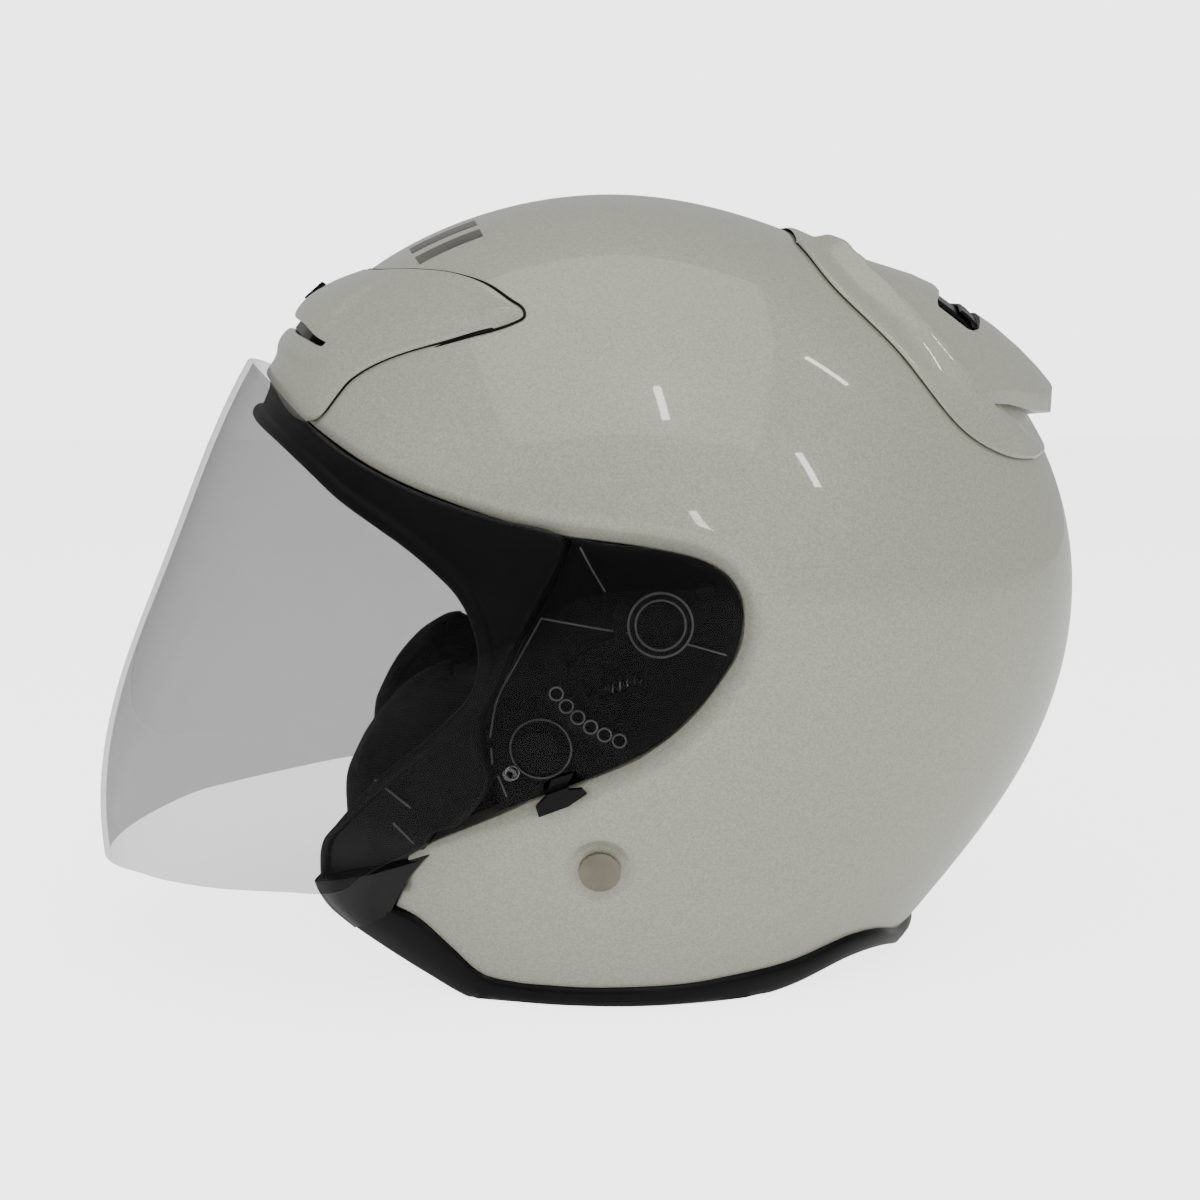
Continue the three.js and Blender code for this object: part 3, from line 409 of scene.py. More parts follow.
CORNER_FLANGE = [
    [-66.7, -70.8], [-72.2, -78.6], [-75.8, -86], [-77.8, -90.8]
]
TRIM_EDGE = [
    [-92, -98], [-80, -104.8], [-68, -111.5], [-54.4, -118.8], [-42, -121], [-27.7, -121], [-4.3, -121],
    [19.5, -120.4], [44.6, -117], [64.6, -111.5], [77, -112.5], [88, -118.5], [308.6, "centre"]
]
TRIM_FLANGE = [
    [-79, -89.5], [-70.5, -93.2], [-60.5, -102.5], [-51.9, -110.6], [-41.5, -112.8], [-27.7, -113.2],
    [-4.3, -113], [19.5, -111.8], [44.6, -109.2], [64.6, -104.6], [75.5, -106], [86.5, -112],
    [311, "centre"]
]
SHIELD_TOP = [
    [149.2, "centre"], [-119, 70.3], [-105.5, 58.5], [-93.1, 49.1], [-70.8, 38.1], [-44.8, 29.9],
    [-17.3, 23.6]
]
SHIELD_LOBE = [
    [-17.3, 23.6], [4, 21], [17, 15.6], [23.4, 5], [22.2, -8], [11.2, -24], [-6, -38.5]
]
SHIELD_BOTTOM = [
    [-6, -38.5], [-18, -43.6], [-21, -44.4], [-24.5, -41.8], [-34.6, -46.4], [-37.4, -50.6], [-41, -53],
    [-65.3, -64], [-86.6, -76.4], [-92, -81.1], [-98.1, -82.7], [-110.5, -83.4], [-137.1, -85.8],
    [-151.9, -86.8], [-165, -87.8], [206.7, "centre"]
]
POCKET_FRONT = [
    [-25.2, 23], [-29.7, 13], [-35.2, 2], [-39.7, -5.7], [-46.2, -20.4], [-49.6, -26.1], [-50.8, -31.5],
    [-50.2, -39], [-48.2, -45.1], [-46.2, -54]
]
RIVET = np.array([-16.8, -73.8])


# ---------------------------------------------------------------- mesh making
def make(name, points, faces, materials, slot, body="helmet", sharp=40.0, face_slots=None):
    """A mesh piece from points in millimetres, riding a body. The slot argument is not used."""
    mesh = bpy.data.meshes.new(name)
    places = [tuple(p) for p in np.asarray(points) * MM]
    mesh.from_pydata(places, [], [tuple(int(i) for i in f) for f in faces])
    if face_slots is not None:
        mesh.polygons.foreach_set("material_index", face_slots)
    piece = bpy.data.objects.new(name, mesh)
    bpy.context.scene.collection.objects.link(piece)
    for material in materials if isinstance(materials, list) else [materials]:
        mesh.materials.append(material)
    tidy(mesh, sharp)
    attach(piece, body)
    return piece


def tidy(mesh, sharp):
    """Welds doubled points, points the faces outwards and marks the edges that stay crisp."""
    work = bmesh.new()
    work.from_mesh(mesh)
    bmesh.ops.remove_doubles(work, verts=work.verts, dist=2e-6)
    bmesh.ops.dissolve_degenerate(work, edges=work.edges, dist=1e-7)
    bmesh.ops.recalc_face_normals(work, faces=work.faces)
    for face in work.faces:
        face.smooth = True
    for edge in work.edges:
        if len(edge.link_faces) == 2:
            edge.smooth = edge.calc_face_angle(0.0) < math.radians(sharp)
    work.to_mesh(mesh)
    work.free()


def grid_faces(rows, columns, loop=False, first=0):
    faces = []
    for i in range(rows - 1):
        for j in range(columns if loop else columns - 1):
            k = (j + 1) % columns
            faces.append([first + i * columns + j, first + (i + 1) * columns + j,
                          first + (i + 1) * columns + k, first + i * columns + k])
    return faces


def swept(sections, caps=True):
    """Points and faces of a bar through sections, each the same ring of points."""
    sections = np.asarray(sections)
    rows, columns = sections.shape[:2]
    faces = grid_faces(rows, columns, True)
    if caps:
        faces.append(list(range(columns)))
        faces.append([(rows - 1) * columns + j for j in range(columns)][::-1])
    return sections.reshape(-1, 3), faces


def unit(rows):
    return rows / np.linalg.norm(rows, axis=1)[:, None]


def wire_rings(line, along, side, radius, sides):
    """Rings of points round a line, square to it."""
    other = np.cross(along, side)
    angle = np.arange(sides) * 2 * math.pi / sides
    return (line[:, None] + radius * np.cos(angle)[None, :, None] * side[:, None]
            + radius * np.sin(angle)[None, :, None] * other[:, None])


# A direction that no wire runs along, from which the rings of a wire are turned.
WIRE_GUIDE = np.array([0.31, 0.17, 0.93])


def tube(line, radius, sides):
    """Points and faces of a wire along an open line, with closed ends."""
    line = np.asarray(line, float)
    along = unit(np.gradient(line, axis=0))
    return swept(wire_rings(line, along, unit(np.cross(along, WIRE_GUIDE)), radius, sides))


def subdivide(piece, levels):
    detail = piece.modifiers.new("round", "SUBSURF")
    detail.levels = detail.render_levels = levels


def mirror(points):
    return np.asarray(points) * np.array([-1.0, 1.0, 1.0])


def both_sides(points, faces):
    count = len(points)
    return (np.vstack([points, mirror(points)]),
            list(faces) + [[i + count for i in reversed(f)] for f in faces])


def left_and_right(points):
    return ("left", points), ("right", mirror(points))


def inside(points, outline):
    """Which 2D points lie inside a closed outline."""
    x, y = points[:, 0:1], points[:, 1:2]
    x0, y0 = outline[:, 0], outline[:, 1]
    x1, y1 = np.roll(x0, -1), np.roll(y0, -1)
    crosses = (y0 > y) != (y1 > y)
    with np.errstate(divide="ignore", invalid="ignore"):
        hit = x < (x1 - x0) * (y - y0) / (y1 - y0) + x0
    return (crosses & hit).sum(axis=1) % 2 == 1


def away(points, lines, gap, batch=2000):
    """Which points are further than gap from every line vertex."""
    keep = np.ones(len(points), bool)
    for start in range(0, len(points), batch):
        part = points[start:start + batch]
        distance = np.hypot(part[:, None, 0] - lines[None, :, 0], part[:, None, 1] - lines[None, :, 1])
        keep[start:start + batch] = distance.min(axis=1) > gap
    return keep


# Lattice points stay this share of their spacing away from every given line.
LATTICE_GAP = 0.62


def fill(outline, rows, spacing):
    """Triangles inside a closed chart outline, through the rows of points given, on a regular lattice."""
    span = HALF_PI + spacing
    rise = spacing * math.sqrt(3) / 2
    lattice = []
    for j in range(int(2 * span / rise)):
        shift = 0.5 * spacing * (j % 2)
        lattice += [(-span + shift + i * spacing, -span + j * rise) for i in range(int(2 * span / spacing))]
    lattice = np.array(lattice)
    lines = np.vstack([outline] + rows)
    lattice = lattice[inside(lattice, outline)]
    lattice = lattice[away(lattice, lines, spacing * LATTICE_GAP)]
    edges = [(i, (i + 1) % len(outline)) for i in range(len(outline))]
    points, first = [outline], len(outline)
    for row in rows:
        edges += [(first + i, first + i + 1) for i in range(len(row) - 1)]
        points.append(row)
        first += len(row)
    points.append(lattice)
    flat = [Vector((float(u), float(v))) for u, v in np.vstack(points)]
    made = delaunay_2d_cdt(flat, edges, [], 1, 1e-6)
    return np.array([tuple(v) for v in made[0]]), [list(f) for f in made[2]]


def normals(row):
    """Unit directions to the left of an open row of chart points."""
    along = unit(np.gradient(row, axis=0))
    return np.stack([-along[:, 1], along[:, 0]], axis=1)


def normals_towards(row, target, at):
    """Unit directions square to the row, on the side where the target lies from the point numbered at."""
    side = normals(row)
    return -side if np.dot(side[at], target - row[at]) < 0 else side


def offset_row(skin, row, side, distance):
    """The row moved over the skin by a distance in millimetres (a number or one for each point)."""
    return row + side * (distance / skin.scale(row, side))[:, None]


def even(row, gap, skin):
    """The row with its points an even gap apart in millimetres."""
    place = skin.on(row)
    run = np.concatenate([[0], np.cumsum(np.linalg.norm(np.diff(place, axis=0), axis=1))])
    at = np.linspace(0, run[-1], max(2, int(run[-1] / gap) + 1))
    return np.stack([np.interp(at, run, row[:, 0]), np.interp(at, run, row[:, 1])], axis=1)


def centre_arc(start, end, count):
    angles = np.radians(np.linspace(start, end, count))
    return np.stack([HALF_PI * np.cos(angles), HALF_PI * np.sin(angles)], axis=1)


def on_centre(point):
    """The chart point moved on to the centre line."""
    return point / np.linalg.norm(point) * HALF_PI


# ---------------------------------------------------------------- shell
# The rolled lip of the port, by the share of the way along LIP: its width and its drop below the skin.
LIP_SHARES = [0, 0.2, 0.34, 0.46, 0.62, 0.9, 0.97, 1]
LIP_WIDTHS = [2.5, 3.0, 4.5, 8.5, 9.0, 7.5, 4.0, 2.0]
LIP_DROPS = [0.8, 1.0, 1.8, 3.4, 3.6, 2.6, 1.2, 0.6]
LIP_FRACTIONS = [0.05, 0.12, 0.22, 0.36, 0.54, 0.76, 1.0]
LIP_ROUND = 2.2
# The dish round the strap's rivet: the rings of points in it, its depth, and where its slope runs.
DISH_RINGS = (6.4, 7.4, 8.4, 9.4, 10.6, 12.0, 14.0)
DISH_DEPTH, DISH_FLAT, DISH_END = 1.7, 7.5, 11.5
RIM_INSET = 2.5
SHELL_FRONT = 147    # degrees about the pivot where the port's edge meets the centre line
# Lip and dish lie within this distance of this place.
DETAIL_PLACE, DETAIL_REACH = (-20, -20), 150
POCKET_OUTLINE = [[-25, 25.1]] + LIP[6:18] + [[-46.3, -57]] + POCKET_FRONT[::-1]
POCKET_DEPTH = 8.3


def dish_rings(rivet):
    """Rings of chart points round the rivet."""
    angle = np.linspace(0, 2 * math.pi, 41)
    across, up = shell.scale(rivet, CHART_BACK), shell.scale(rivet, CHART_UP)
    return [rivet + np.stack([radius * np.cos(angle) / across, radius * np.sin(angle) / up], axis=1)
            for radius in DISH_RINGS]


def shell_depths(place, lip_place, rivet_place, width, drop):
    """Depth below the skin: the rolled lip and the dish round the rivet."""
    depth = np.zeros(len(place))
    detail = shell.on(shell.chart(*DETAIL_PLACE))
    for i in np.where(np.linalg.norm(place - detail, axis=1) < DETAIL_REACH)[0]:
        gap = np.linalg.norm(lip_place - place[i], axis=1)
        k = int(gap.argmin())
        fraction = gap[k] / width[k]
        if fraction < 1:
            depth[i] = drop[k] * (1 - fraction) ** LIP_ROUND
        from_rivet = np.linalg.norm(place[i] - rivet_place)
        depth[i] += DISH_DEPTH * (1 - ramp(from_rivet, DISH_FLAT, DISH_END))
    return depth


def shell_skin():
    lip = even(shell.along(LIP, 400), 2.0, shell)
    side = normals_towards(lip, shell.chart(60, 60), len(lip) // 2)
    t = np.linspace(0, 1, len(lip))
    width, drop = np.interp(t, LIP_SHARES, LIP_WIDTHS), np.interp(t, LIP_SHARES, LIP_DROPS)
    rows = [offset_row(shell, lip, side, f * width) for f in LIP_FRACTIONS]
    trim = even(shell.along(TRIM_FLANGE[1:], 300), 3.0, shell)
    inset = offset_row(shell, trim, normals(trim), -RIM_INSET)
    inset[-1] = on_centre(inset[-1])
    corner = np.array([shell.chart(-75, -82), shell.chart(-79.5, -90)])
    nape = math.degrees(math.atan2(inset[-1][1], inset[-1][0])) % 360
    outline = np.vstack([lip, corner, inset[:-1], centre_arc(nape, SHELL_FRONT + 360, 130)])
    rivet = shell.chart(*RIVET)
    chart, faces = fill(outline, rows + dish_rings(rivet), 0.03)
    depth = shell_depths(shell.on(chart), shell.on(lip), shell.on(rivet), width, drop)
    # the wall that turns down into the recess and round the rim
    rim = np.vstack([lip, corner, inset])
    rim_depth = np.concatenate([drop, np.zeros(len(corner) + len(inset))])
    levels = [rim_depth, rim_depth + 0.5, np.maximum(rim_depth + 2, 6.0), np.maximum(rim_depth + 4, 9.5)]
    wall = np.concatenate([shell.on(rim, level) for level in levels])
    faces += grid_faces(len(levels), len(rim), False, len(chart))
    points, faces = both_sides(np.vstack([shell.on(chart, depth), wall]), faces)
    piece = make("shell_paint_skin", points, faces, PAINT, "shell_paint", sharp=60)
    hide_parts("outer_shell")


def pocket_floor():
    """The dark floor of the mechanism's recess."""
    chart, faces = fill(np.array([shell.chart(*p) for p in POCKET_OUTLINE]), [], 0.06)
    points, faces = both_sides(shell.on(chart, POCKET_DEPTH), faces)
    make("pocket_floor", points, faces, MOULDED, "mechanism_black")


def acrosswise(sections):
    """Sections on the left side, carried across the centre line to the right."""
    return np.concatenate([mirror(sections)[::-1][:-1], sections])


def edging(edge, flange, profile, steps):
    """Sections of an edging. A profile point is (share of the flange's width, millimetres, depth)."""
    start, end = shell.along(edge, steps), shell.along(flange, steps)
    width = np.linalg.norm(shell.on(start) - shell.on(end), axis=1)
    rings = []
    for share, extra, depth in profile:
        distance = share * width + extra
        chart = start + (end - start) * (distance / width)[:, None]
        rings.append(shell.on(chart, depth))
    return np.stack(rings, axis=1)


BEAD_PROFILE = [
    (0, 0.0, 7.6), (0, -0.3, 5.0), (0, -0.5, 3.0), (0, -0.2, 1.5), (0, 0.6, 0.6), (0, 1.7, 0.3),
    (0, 2.9, 0.45), (0, 3.8, 1.0), (0, 4.3, 2.0), (0, 4.7, 2.3), (0, 5.4, 2.35), (0.5, 2.5, 1.7),
    (1, -3.0, 1.2), (1, -2.2, 0.75), (1, -1.2, 0.7), (1, -0.5, 0.9), (1, -0.1, 1.5), (1, 0, 3.2),
    (1, 0.1, 7.8), (1, -1.4, 7.8), (1, -1.6, 2.8), (0, 2.8, 3.0), (0, 2.2, 6.2), (0, 6.0, 6.4),
    (0, 6.0, 7.9)
]
TRIM_PROFILE = [
    (0, 0.2, 7.4), (0, -0.4, 5.5), (0, -0.7, 2.5), (0, -0.7, 0.2), (0, -0.3, -1.4), (0, 0.6, -2.3),
    (0, 2.0, -2.7), (0.5, 0, -2.7), (1, -2.0, -2.5), (1, -0.9, -2.1), (1, -0.2, -1.3), (1, 0, -0.4),
    (1, 0, 0.3), (1, -2.5, 0.4), (0, 2.2, 0.4), (0, 2.0, 5.6), (0, 6.0, 5.8), (0, 6.3, 6.8), (0, 5.8, 7.6)
]
CORNER_PROFILE = [
    (0, 0.2, 7.4), (0, -0.4, 5.0), (0, -0.6, 1.5), (0, -0.5, -1.0), (0, 0.2, -2.4), (0, 1.2, -3.0),
    (0.3, 0, -3.3), (0.62, 0, -3.5), (0.66, 0, -3.1), (0.9, 0, -2.4), (1, -1.0, -2.0), (1, -0.2, -1.2),
    (1, 0, 0.2), (1, -2.5, 0.3), (0, 2.2, 0.2), (0, 2.0, 5.6), (0, 6.0, 5.8), (0, 6.0, 7.2)
]


def edgings():
    bead = acrosswise(edging(PORT_EDGE, PORT_FLANGE, BEAD_PROFILE, 150))
    piece = make("window_bead", *swept(bead), RUBBER, "edge_rubber", sharp=50)
    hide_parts("window_beading")
    trim = acrosswise(edging(TRIM_EDGE[::-1], TRIM_FLANGE[::-1], TRIM_PROFILE, 150))
    trim[..., 2] = np.maximum(trim[..., 2], 0.0)
    piece = make("rim_trim", *swept(trim), SATIN_BLACK, "edge_rubber", sharp=50)
    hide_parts("bottom_edge_trim")
    corner = edging(CORNER_EDGE, CORNER_FLANGE, CORNER_PROFILE, 24)
    for side, section in left_and_right(corner):
        piece = make("corner_cover_" + side, *swept(section), GLOSS_BLACK, "gloss_black", sharp=50)
        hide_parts("edge_corner_cover_" + side)


# ---------------------------------------------------------------- shield
PANE_THICKNESS = 2.0
# How far the pane's edges are rounded in from both faces, and over what width.
PANE_ROUND, PANE_ROUND_WIDTH = 0.75, 0.8
PANE_ROWS = (0.35, 0.8, 2.6)


def shield():
    top = even(pane.along(SHIELD_TOP, 300), 2.5, pane)
    lobe = even(pane.along(SHIELD_LOBE, 200), 2.0, pane)
    bottom = even(pane.along(SHIELD_BOTTOM, 500), 2.0, pane)
    arc = centre_arc(SHIELD_BOTTOM[-1][0], SHIELD_TOP[0][0], 60)
    edge = np.vstack([top[:-1], lobe[:-1], bottom])
    side = normals_towards(edge, pane.chart(-110, 0), len(top) // 2)
    rows = [offset_row(pane, edge, side, d) for d in PANE_ROWS]
    for row in rows:
        row[0], row[-1] = on_centre(row[0]), on_centre(row[-1])
    chart, faces = fill(np.vstack([edge, arc[1:-1]]), rows, 0.03)
    place = pane.on(edge)
    gaps = np.array([np.linalg.norm(place - p, axis=1).min() for p in pane.on(chart)])
    rim = PANE_ROUND * np.maximum(0.0, 1 - gaps / PANE_ROUND_WIDTH) ** 2
    outer, inner = pane.on(chart, rim), pane.on(chart, PANE_THICKNESS - rim)
    count = len(chart)
    centred = np.abs(np.linalg.norm(chart, axis=1) - HALF_PI) <= 1e-4
    walls = [[i, j, j + count, i + count] for i, j in border_of(faces) if not (centred[i] and centred[j])]
    faces = faces + [[i + count for i in reversed(f)] for f in faces] + walls
    points, faces = both_sides(np.vstack([outer, inner]), faces)
    piece = make("shield_clear", points, faces, GLASS, "clear_shield", "shield", sharp=60)
    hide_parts("shield_pane")


def border_of(faces):
    """The edges that only one face has, each in that face's direction."""
    seen = {}
    for face in faces:
        for i, j in zip(face, face[1:] + face[:1]):
            key = (min(i, j), max(i, j))
            seen[key] = None if key in seen else (i, j)
    return [pair for pair in seen.values() if pair]


# ---------------------------------------------------------------- vents
def cover_sheet(name, grid, is_dark, sharp=180):
    """A painted sheet through a grid of places, black where is_dark(row, column) says so."""
    rows, columns = grid.shape[:2]
    slots = [int(is_dark(i, j)) for i in range(rows - 1) for j in range(columns - 1)]
    return make(name, grid.reshape(-1, 3), grid_faces(rows, columns), [PAINT, SATIN_BLACK], "shell_paint",
                sharp=sharp, face_slots=slots)


BROW_FRONT = [
    [149.6, 0], [149.7, 14], [149.9, 40], [150.2, 76], [143, 77], [137.5, 80.5], [128, 88], [119, 91.5]
]
BROW_REAR = [
    [130.5, 0], [130.2, 14], [128.8, 36], [124.8, 54], [120.8, 66], [117, 77], [115, 85], [113.6, 90.5]
]
BROW_GAP_LINE = [
    [130, 86.4], [127, 88.2], [123, 90.2], [119, 91.5], [116, 91.8], [113.4, 91.2], [112.9, 89],
    [114.3, 84.6], [116.4, 77], [120.3, 66], [124.3, 54], [128.3, 36], [129.8, 14], [130.1, 0]
]
# The section on the centre line from the skirt's edge to the rear: (place from 0 to 1, height).
BROW_SECTION = [
    (0.03, -1.0), (0.03, 0.55), (-0.002, 0.65), (-0.004, 1.6), (0.012, 2.2), (0.06, 2.2), (0.12, 2.3),
    (0.155, 3.0), (0.185, 4.0), (0.25, 4.9), (0.32, 4.7), (0.352, 4.1), (0.356, 2.6), (0.37, 0.9),
    (0.55, 0.9), (0.60, 1.0), (0.60, 3.4), (0.55, 3.9), (0.44, 4.2), (0.424, 4.7), (0.428, 5.6),
    (0.46, 6.5), (0.55, 7.0), (0.65, 6.4), (0.75, 5.2), (0.86, 3.6), (0.95, 2.0), (0.99, 1.5), (1.004, 1.0),
    (1.002, 0.5), (0.975, 0.4), (0.975, -1.0)
]
# Stations along the hood, from 0 at the centre line to 7 at the tip of the wing.
BROW_STATIONS = [0, 0.3, 0.6, 1, 1.4, 1.8, 2.1, 2.35, 2.55, 2.68, 2.76, 2.84, 2.95, 3.05, 3.2, 3.5, 3.85,
                 4.0, 4.15, 4.5, 5.0, 5.5, 6.0, 6.4, 6.7, 6.85, 6.95, 7.0, 7.0]


def brow_section(u, front, rear):
    """The section at station u, as (angle, X, height) from its front place to its rear place."""
    v, centre = np.array(BROW_SECTION).T
    index = np.arange(len(v))
    # where the intake's lower lip folds and where its floor begins, which both wander along the hood
    crease = np.interp(u, [0, 1.5, 2.25, 2.7, 3.0], [0.14, 0.16, 0.215, 0.28, 0.34])
    ledge = np.interp(u, [0, 2.1, 2.4, 2.7], [0.352, 0.352, 0.385, 0.402])
    mapped = np.where((index >= 6) & (index <= 12), crease + (v - 0.14) / 0.212 * (ledge - crease), v)
    mapped[13] = ledge + 0.014
    shut = mapped.copy()
    shut[12:19] = np.linspace(mapped[11] + 0.004, 0.418, 7)
    opening = 1 - ramp(u, 2.68, 2.78)
    place = shut * (1 - opening) + mapped * opening
    # heights with the intake open, and closed over between it and the wing
    open_height = centre * np.interp(u, [0, 2, 2.7, 3.4], [1, 0.96, 0.84, 0.7])
    flank = np.interp(shut, [0, 0.08, 0.3, 0.5, 0.75, 1], [1.7, 2.2, 3.9, 4.5, 3.2, 1.0])
    wing = np.interp(shut, [0, 0.1, 0.32, 0.5, 0.8, 1], [1.5, 2.2, 3.8, 3.4, 2.4, 0.9])
    closed = flank * (1 - ramp(u, 3.0, 4.5)) + wing * ramp(u, 3.0, 4.5)
    fade = ramp(u, 2.7, 3.0)
    closed_lip = open_height * (1 - fade) + closed * fade
    closed = np.where((index >= 5) & (index <= 11), closed_lip, closed)
    body = closed * (1 - opening) + open_height * opening
    height = np.where((index < 5) | (index > 26), centre, body)
    return np.column_stack([front + (rear - front) * place[:, None], height])


def brow_cover():
    """A skirt, a bulging lower lip, a wide intake under the hood, and wings tapering to each side."""
    front, rear = spline(BROW_FRONT, BROW_STATIONS), spline(BROW_REAR, BROW_STATIONS)
    sections = np.array([brow_section(u, front[k], rear[k]) for k, u in enumerate(BROW_STATIONS)])
    sections[-1, :, 2] = -1.0
    points = shell.over(sections[..., 0], sections[..., 1], sections[..., 2])
    grid = np.concatenate([mirror(points[1:])[::-1], points])
    middle = len(grid) // 2
    # Black faces: the edge walls are painted shade in the gap under the cover's edge; the intake's lip and
    # floor are black too.
    gap_shade_and_intake = lambda i, j: j < 2 or j > 28 or (12 <= j < 17 and abs(i + 0.5 - middle) < 10)
    piece = cover_sheet("brow_vent_shell", grid, gap_shade_and_intake)
    subdivide(piece, 2)
    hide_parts("brow_vent_cover")
    # A black cord along the rear edge and the wing's tip: painted shade in the gap between cover and shell.
    gap_line = np.array(BROW_GAP_LINE, float)
    sunk = np.interp(np.arange(len(gap_line)), [0, 2], [-0.5, 0.2])
    gap_line = smooth(shell.over(gap_line[:, 0], gap_line[:, 1], sunk), 120)
    for side, line in left_and_right(gap_line):
        make("brow_gap_shade_" + side, *tube(line, 0.45, 8), SATIN_BLACK, "shell_paint")


REAR_OUTER = [
    [66, 42], [64.6, 49], [59.7, 65], [53.8, 72], [45.6, 77.5], [38.6, 82], [31.1, 84], [25.9, 81],
    [21.5, 72], [19.4, 58]
]
REAR_MIDDLE = [[d, 0] for d in (67, 64, 59, 53, 46, 39, 31, 25.6, 21.2, 18)]
# Shares of the way from the outer line to the centre line, and the heights of the rim's first columns.
REAR_SHARES = [0.006, 0.006, -0.016, -0.018, -0.004, 0.02, 0.045, 0.07, 0.09, 0.11, 0.13, 0.15, 0.17, 0.19,
               0.21, 0.23, 0.26, 0.29, 0.33, 0.4, 0.5, 0.7, 0.9]
REAR_RIM = [-1.0, 0.5, 0.6, 1.3, 1.7]
REAR_SHEET = 1.9
# Stations down the cover, from 0 at its front to 9 at its rear edge.
REAR_STATIONS = [0, 0.03, 0.08, 0.25, 0.5, 0.75, 1, 1.3, 1.6, 2, 2.5, 3, 3.5, 4, 4.5, 5, 5.5, 6, 6.5, 7,
                 7.5, 8, 8.5, 8.8, 8.95, 9]


def rear_height(t, s, column):
    """Height of the rear cover at a share t of its length and s of its half width."""
    crest = np.interp(t, [0.1, 0.22, 0.33, 0.45, 0.55, 0.67, 1], [0.4, 0.28, 0.19, 0.15, 0.12, 0.09, 0.08])
    fall = 0.055 if s < crest else 0.028
    rise = (4.2 + 4.6 * bump(t, 0.2, 0.12)) * ramp(t, 0.12, 0.2) * (1 - ramp(t, 0.7, 0.95))
    sheet = REAR_SHEET + rise * bump(s, crest, fall) - 0.9 * ramp(s, 0.22, 0.3) * ramp(t, 0.2, 0.3)
    height = REAR_RIM[column] if column < len(REAR_RIM) else sheet
    end = min(ramp(t, 0, 0.03), ramp(1 - t, 0, 0.03))
    return min(height, REAR_SHEET) * (1 - end) * 0.5 + height * end


def rear_cover():
    """A sheet with a ridge down each side, carried across the centre line in one piece."""
    steps = np.array(REAR_STATIONS)
    outer, middle = spline(REAR_OUTER, steps), spline(REAR_MIDDLE, steps)
    rows = np.array([[[*(outer[k] + (middle[k] - outer[k]) * s), rear_height(u / 9, s, j)]
                      for j, s in enumerate(REAR_SHARES)] for k, u in enumerate(steps)])
    left = shell.over(rows[..., 0], rows[..., 1], rows[..., 2])
    middle_line = shell.over(middle[:, 0], np.zeros(len(steps)), rows[:, -1, 2])[:, None]
    grid = np.concatenate([left, middle_line, mirror(left)[:, ::-1]], axis=1)
    columns = grid.shape[1]
    # The black edge columns are painted shade in the gap under the cover's edge.
    piece = cover_sheet("exhaust_shell", grid, lambda i, j: j < 2 or j > columns - 4)
    subdivide(piece, 2)
    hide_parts("exhaust_cover")


# Rows from the front of the raised middle to its undercut end; each place is (angle, X, height), from
# the centre line out to the foot of the sloping side.
HOOD_X = [
    [0, 12, 22, 28, 32, 34, 37, 40], [0, 15, 27, 33, 37, 39, 43, 47], [0, 16, 30, 37, 41, 43.5, 48, 52],
    [0, 16, 30, 38, 43, 45.5, 50, 56], [0, 16, 30, 38, 44, 46.5, 52, 59], [0, 16, 30, 38, 44, 46.8, 53, 60],
    [0, 16, 30, 38, 43.6, 46.8, 53, 60], [0, 16, 30, 38, 43.6, 47.3, 55, 64],
    [0, 16, 30, 38, 43.6, 47.4, 56, 65], [0, 16, 30, 38, 44, 47.5, 56, 66],
    [0, 16, 30, 38, 44, 47.6, 57, 67], [0, 16, 30, 38, 44, 47.6, 58, 69], [0, 16, 30, 38, 44, 47.6, 61, 73],
    [0, 16, 30, 38, 44, 47.6, 63, 76], [0, 16, 30, 38, 44, 47.4, 64, 78], [0, 16, 30, 38, 44, 47, 63, 77.5],
    [0, 16, 30, 38, 42, 44, 60, 75]
]
HOOD_ANGLE = [
    [57] * 8, [54.5] * 8, [51.2] * 8, [48] * 8, [45, 45, 45, 45, 45, 44.8, 44.4, 44],
    [44.4, 44.4, 44.4, 44.4, 44.4, 44.2, 43.8, 43.4], [44.5] * 5 + [43.8, 43.4, 43],
    [37.3] * 5 + [39, 40, 41.6], [37.2] * 5 + [38.6, 39.6, 41],
    [38.4, 38.4, 38.3, 38.2, 38, 38, 38.9, 40.6], [37.4, 37.4, 37.3, 37.3, 37.3, 37.4, 38.2, 40],
    [35.4] * 5 + [35.6, 36.7, 38.6], [31.4] * 5 + [31.6, 33.9, 36.1], [28] * 5 + [28.6, 31.3, 34.1],
    [25.4, 25.4, 25.7, 26.1, 26.6, 26.9, 29.9, 32.9], [22.3, 22.3, 22.8, 23.5, 24.3, 24.7, 28, 31.7],
    [23.4, 23.4, 23.8, 24.4, 25.2, 25.6, 28.8, 32.2]
]
HOOD_HEIGHT = [
    [0.6] * 8, [2.6, 2.6, 2.4, 2.1, 1.8, 1.4, 1.0, 0.5], [4.5, 4.4, 4.1, 3.8, 3.4, 2.8, 1.8, 0.8],
    [6.6, 6.5, 6, 5.6, 5, 4.4, 3, 1.2], [8, 7.9, 7.3, 6.8, 6.2, 5.5, 3.8, 1.6],
    [7.9, 7.8, 7.2, 6.7, 6, 5.3, 3.7, 1.7], [4.0] * 5 + [5.2, 3.6, 1.8], [4.0] * 5 + [5.6, 4.2, 2.4],
    [8.5, 8.4, 8.2, 7.6, 6.6, 5.9, 4.6, 2.8], [9.6, 9.4, 8.9, 8.3, 7.5, 6.4, 5.2, 3.3],
    [10, 9.8, 9.2, 8.6, 7.8, 6.9, 5.4, 3.6], [10.9, 10.7, 10, 9.2, 8.3, 7.5, 5.8, 4],
    [12.2, 12, 11, 9.9, 8.6, 7.8, 6.2, 4.6], [13.2, 13, 11.8, 10.4, 8.7, 7.9, 6.4, 5],
    [13.9, 13.6, 12.3, 10.8, 8.8, 8, 6.6, 5.2], [8.3, 8.2, 7.4, 6.4, 5.2, 4.6, 3.6, 2.8], [0.6] * 8
]


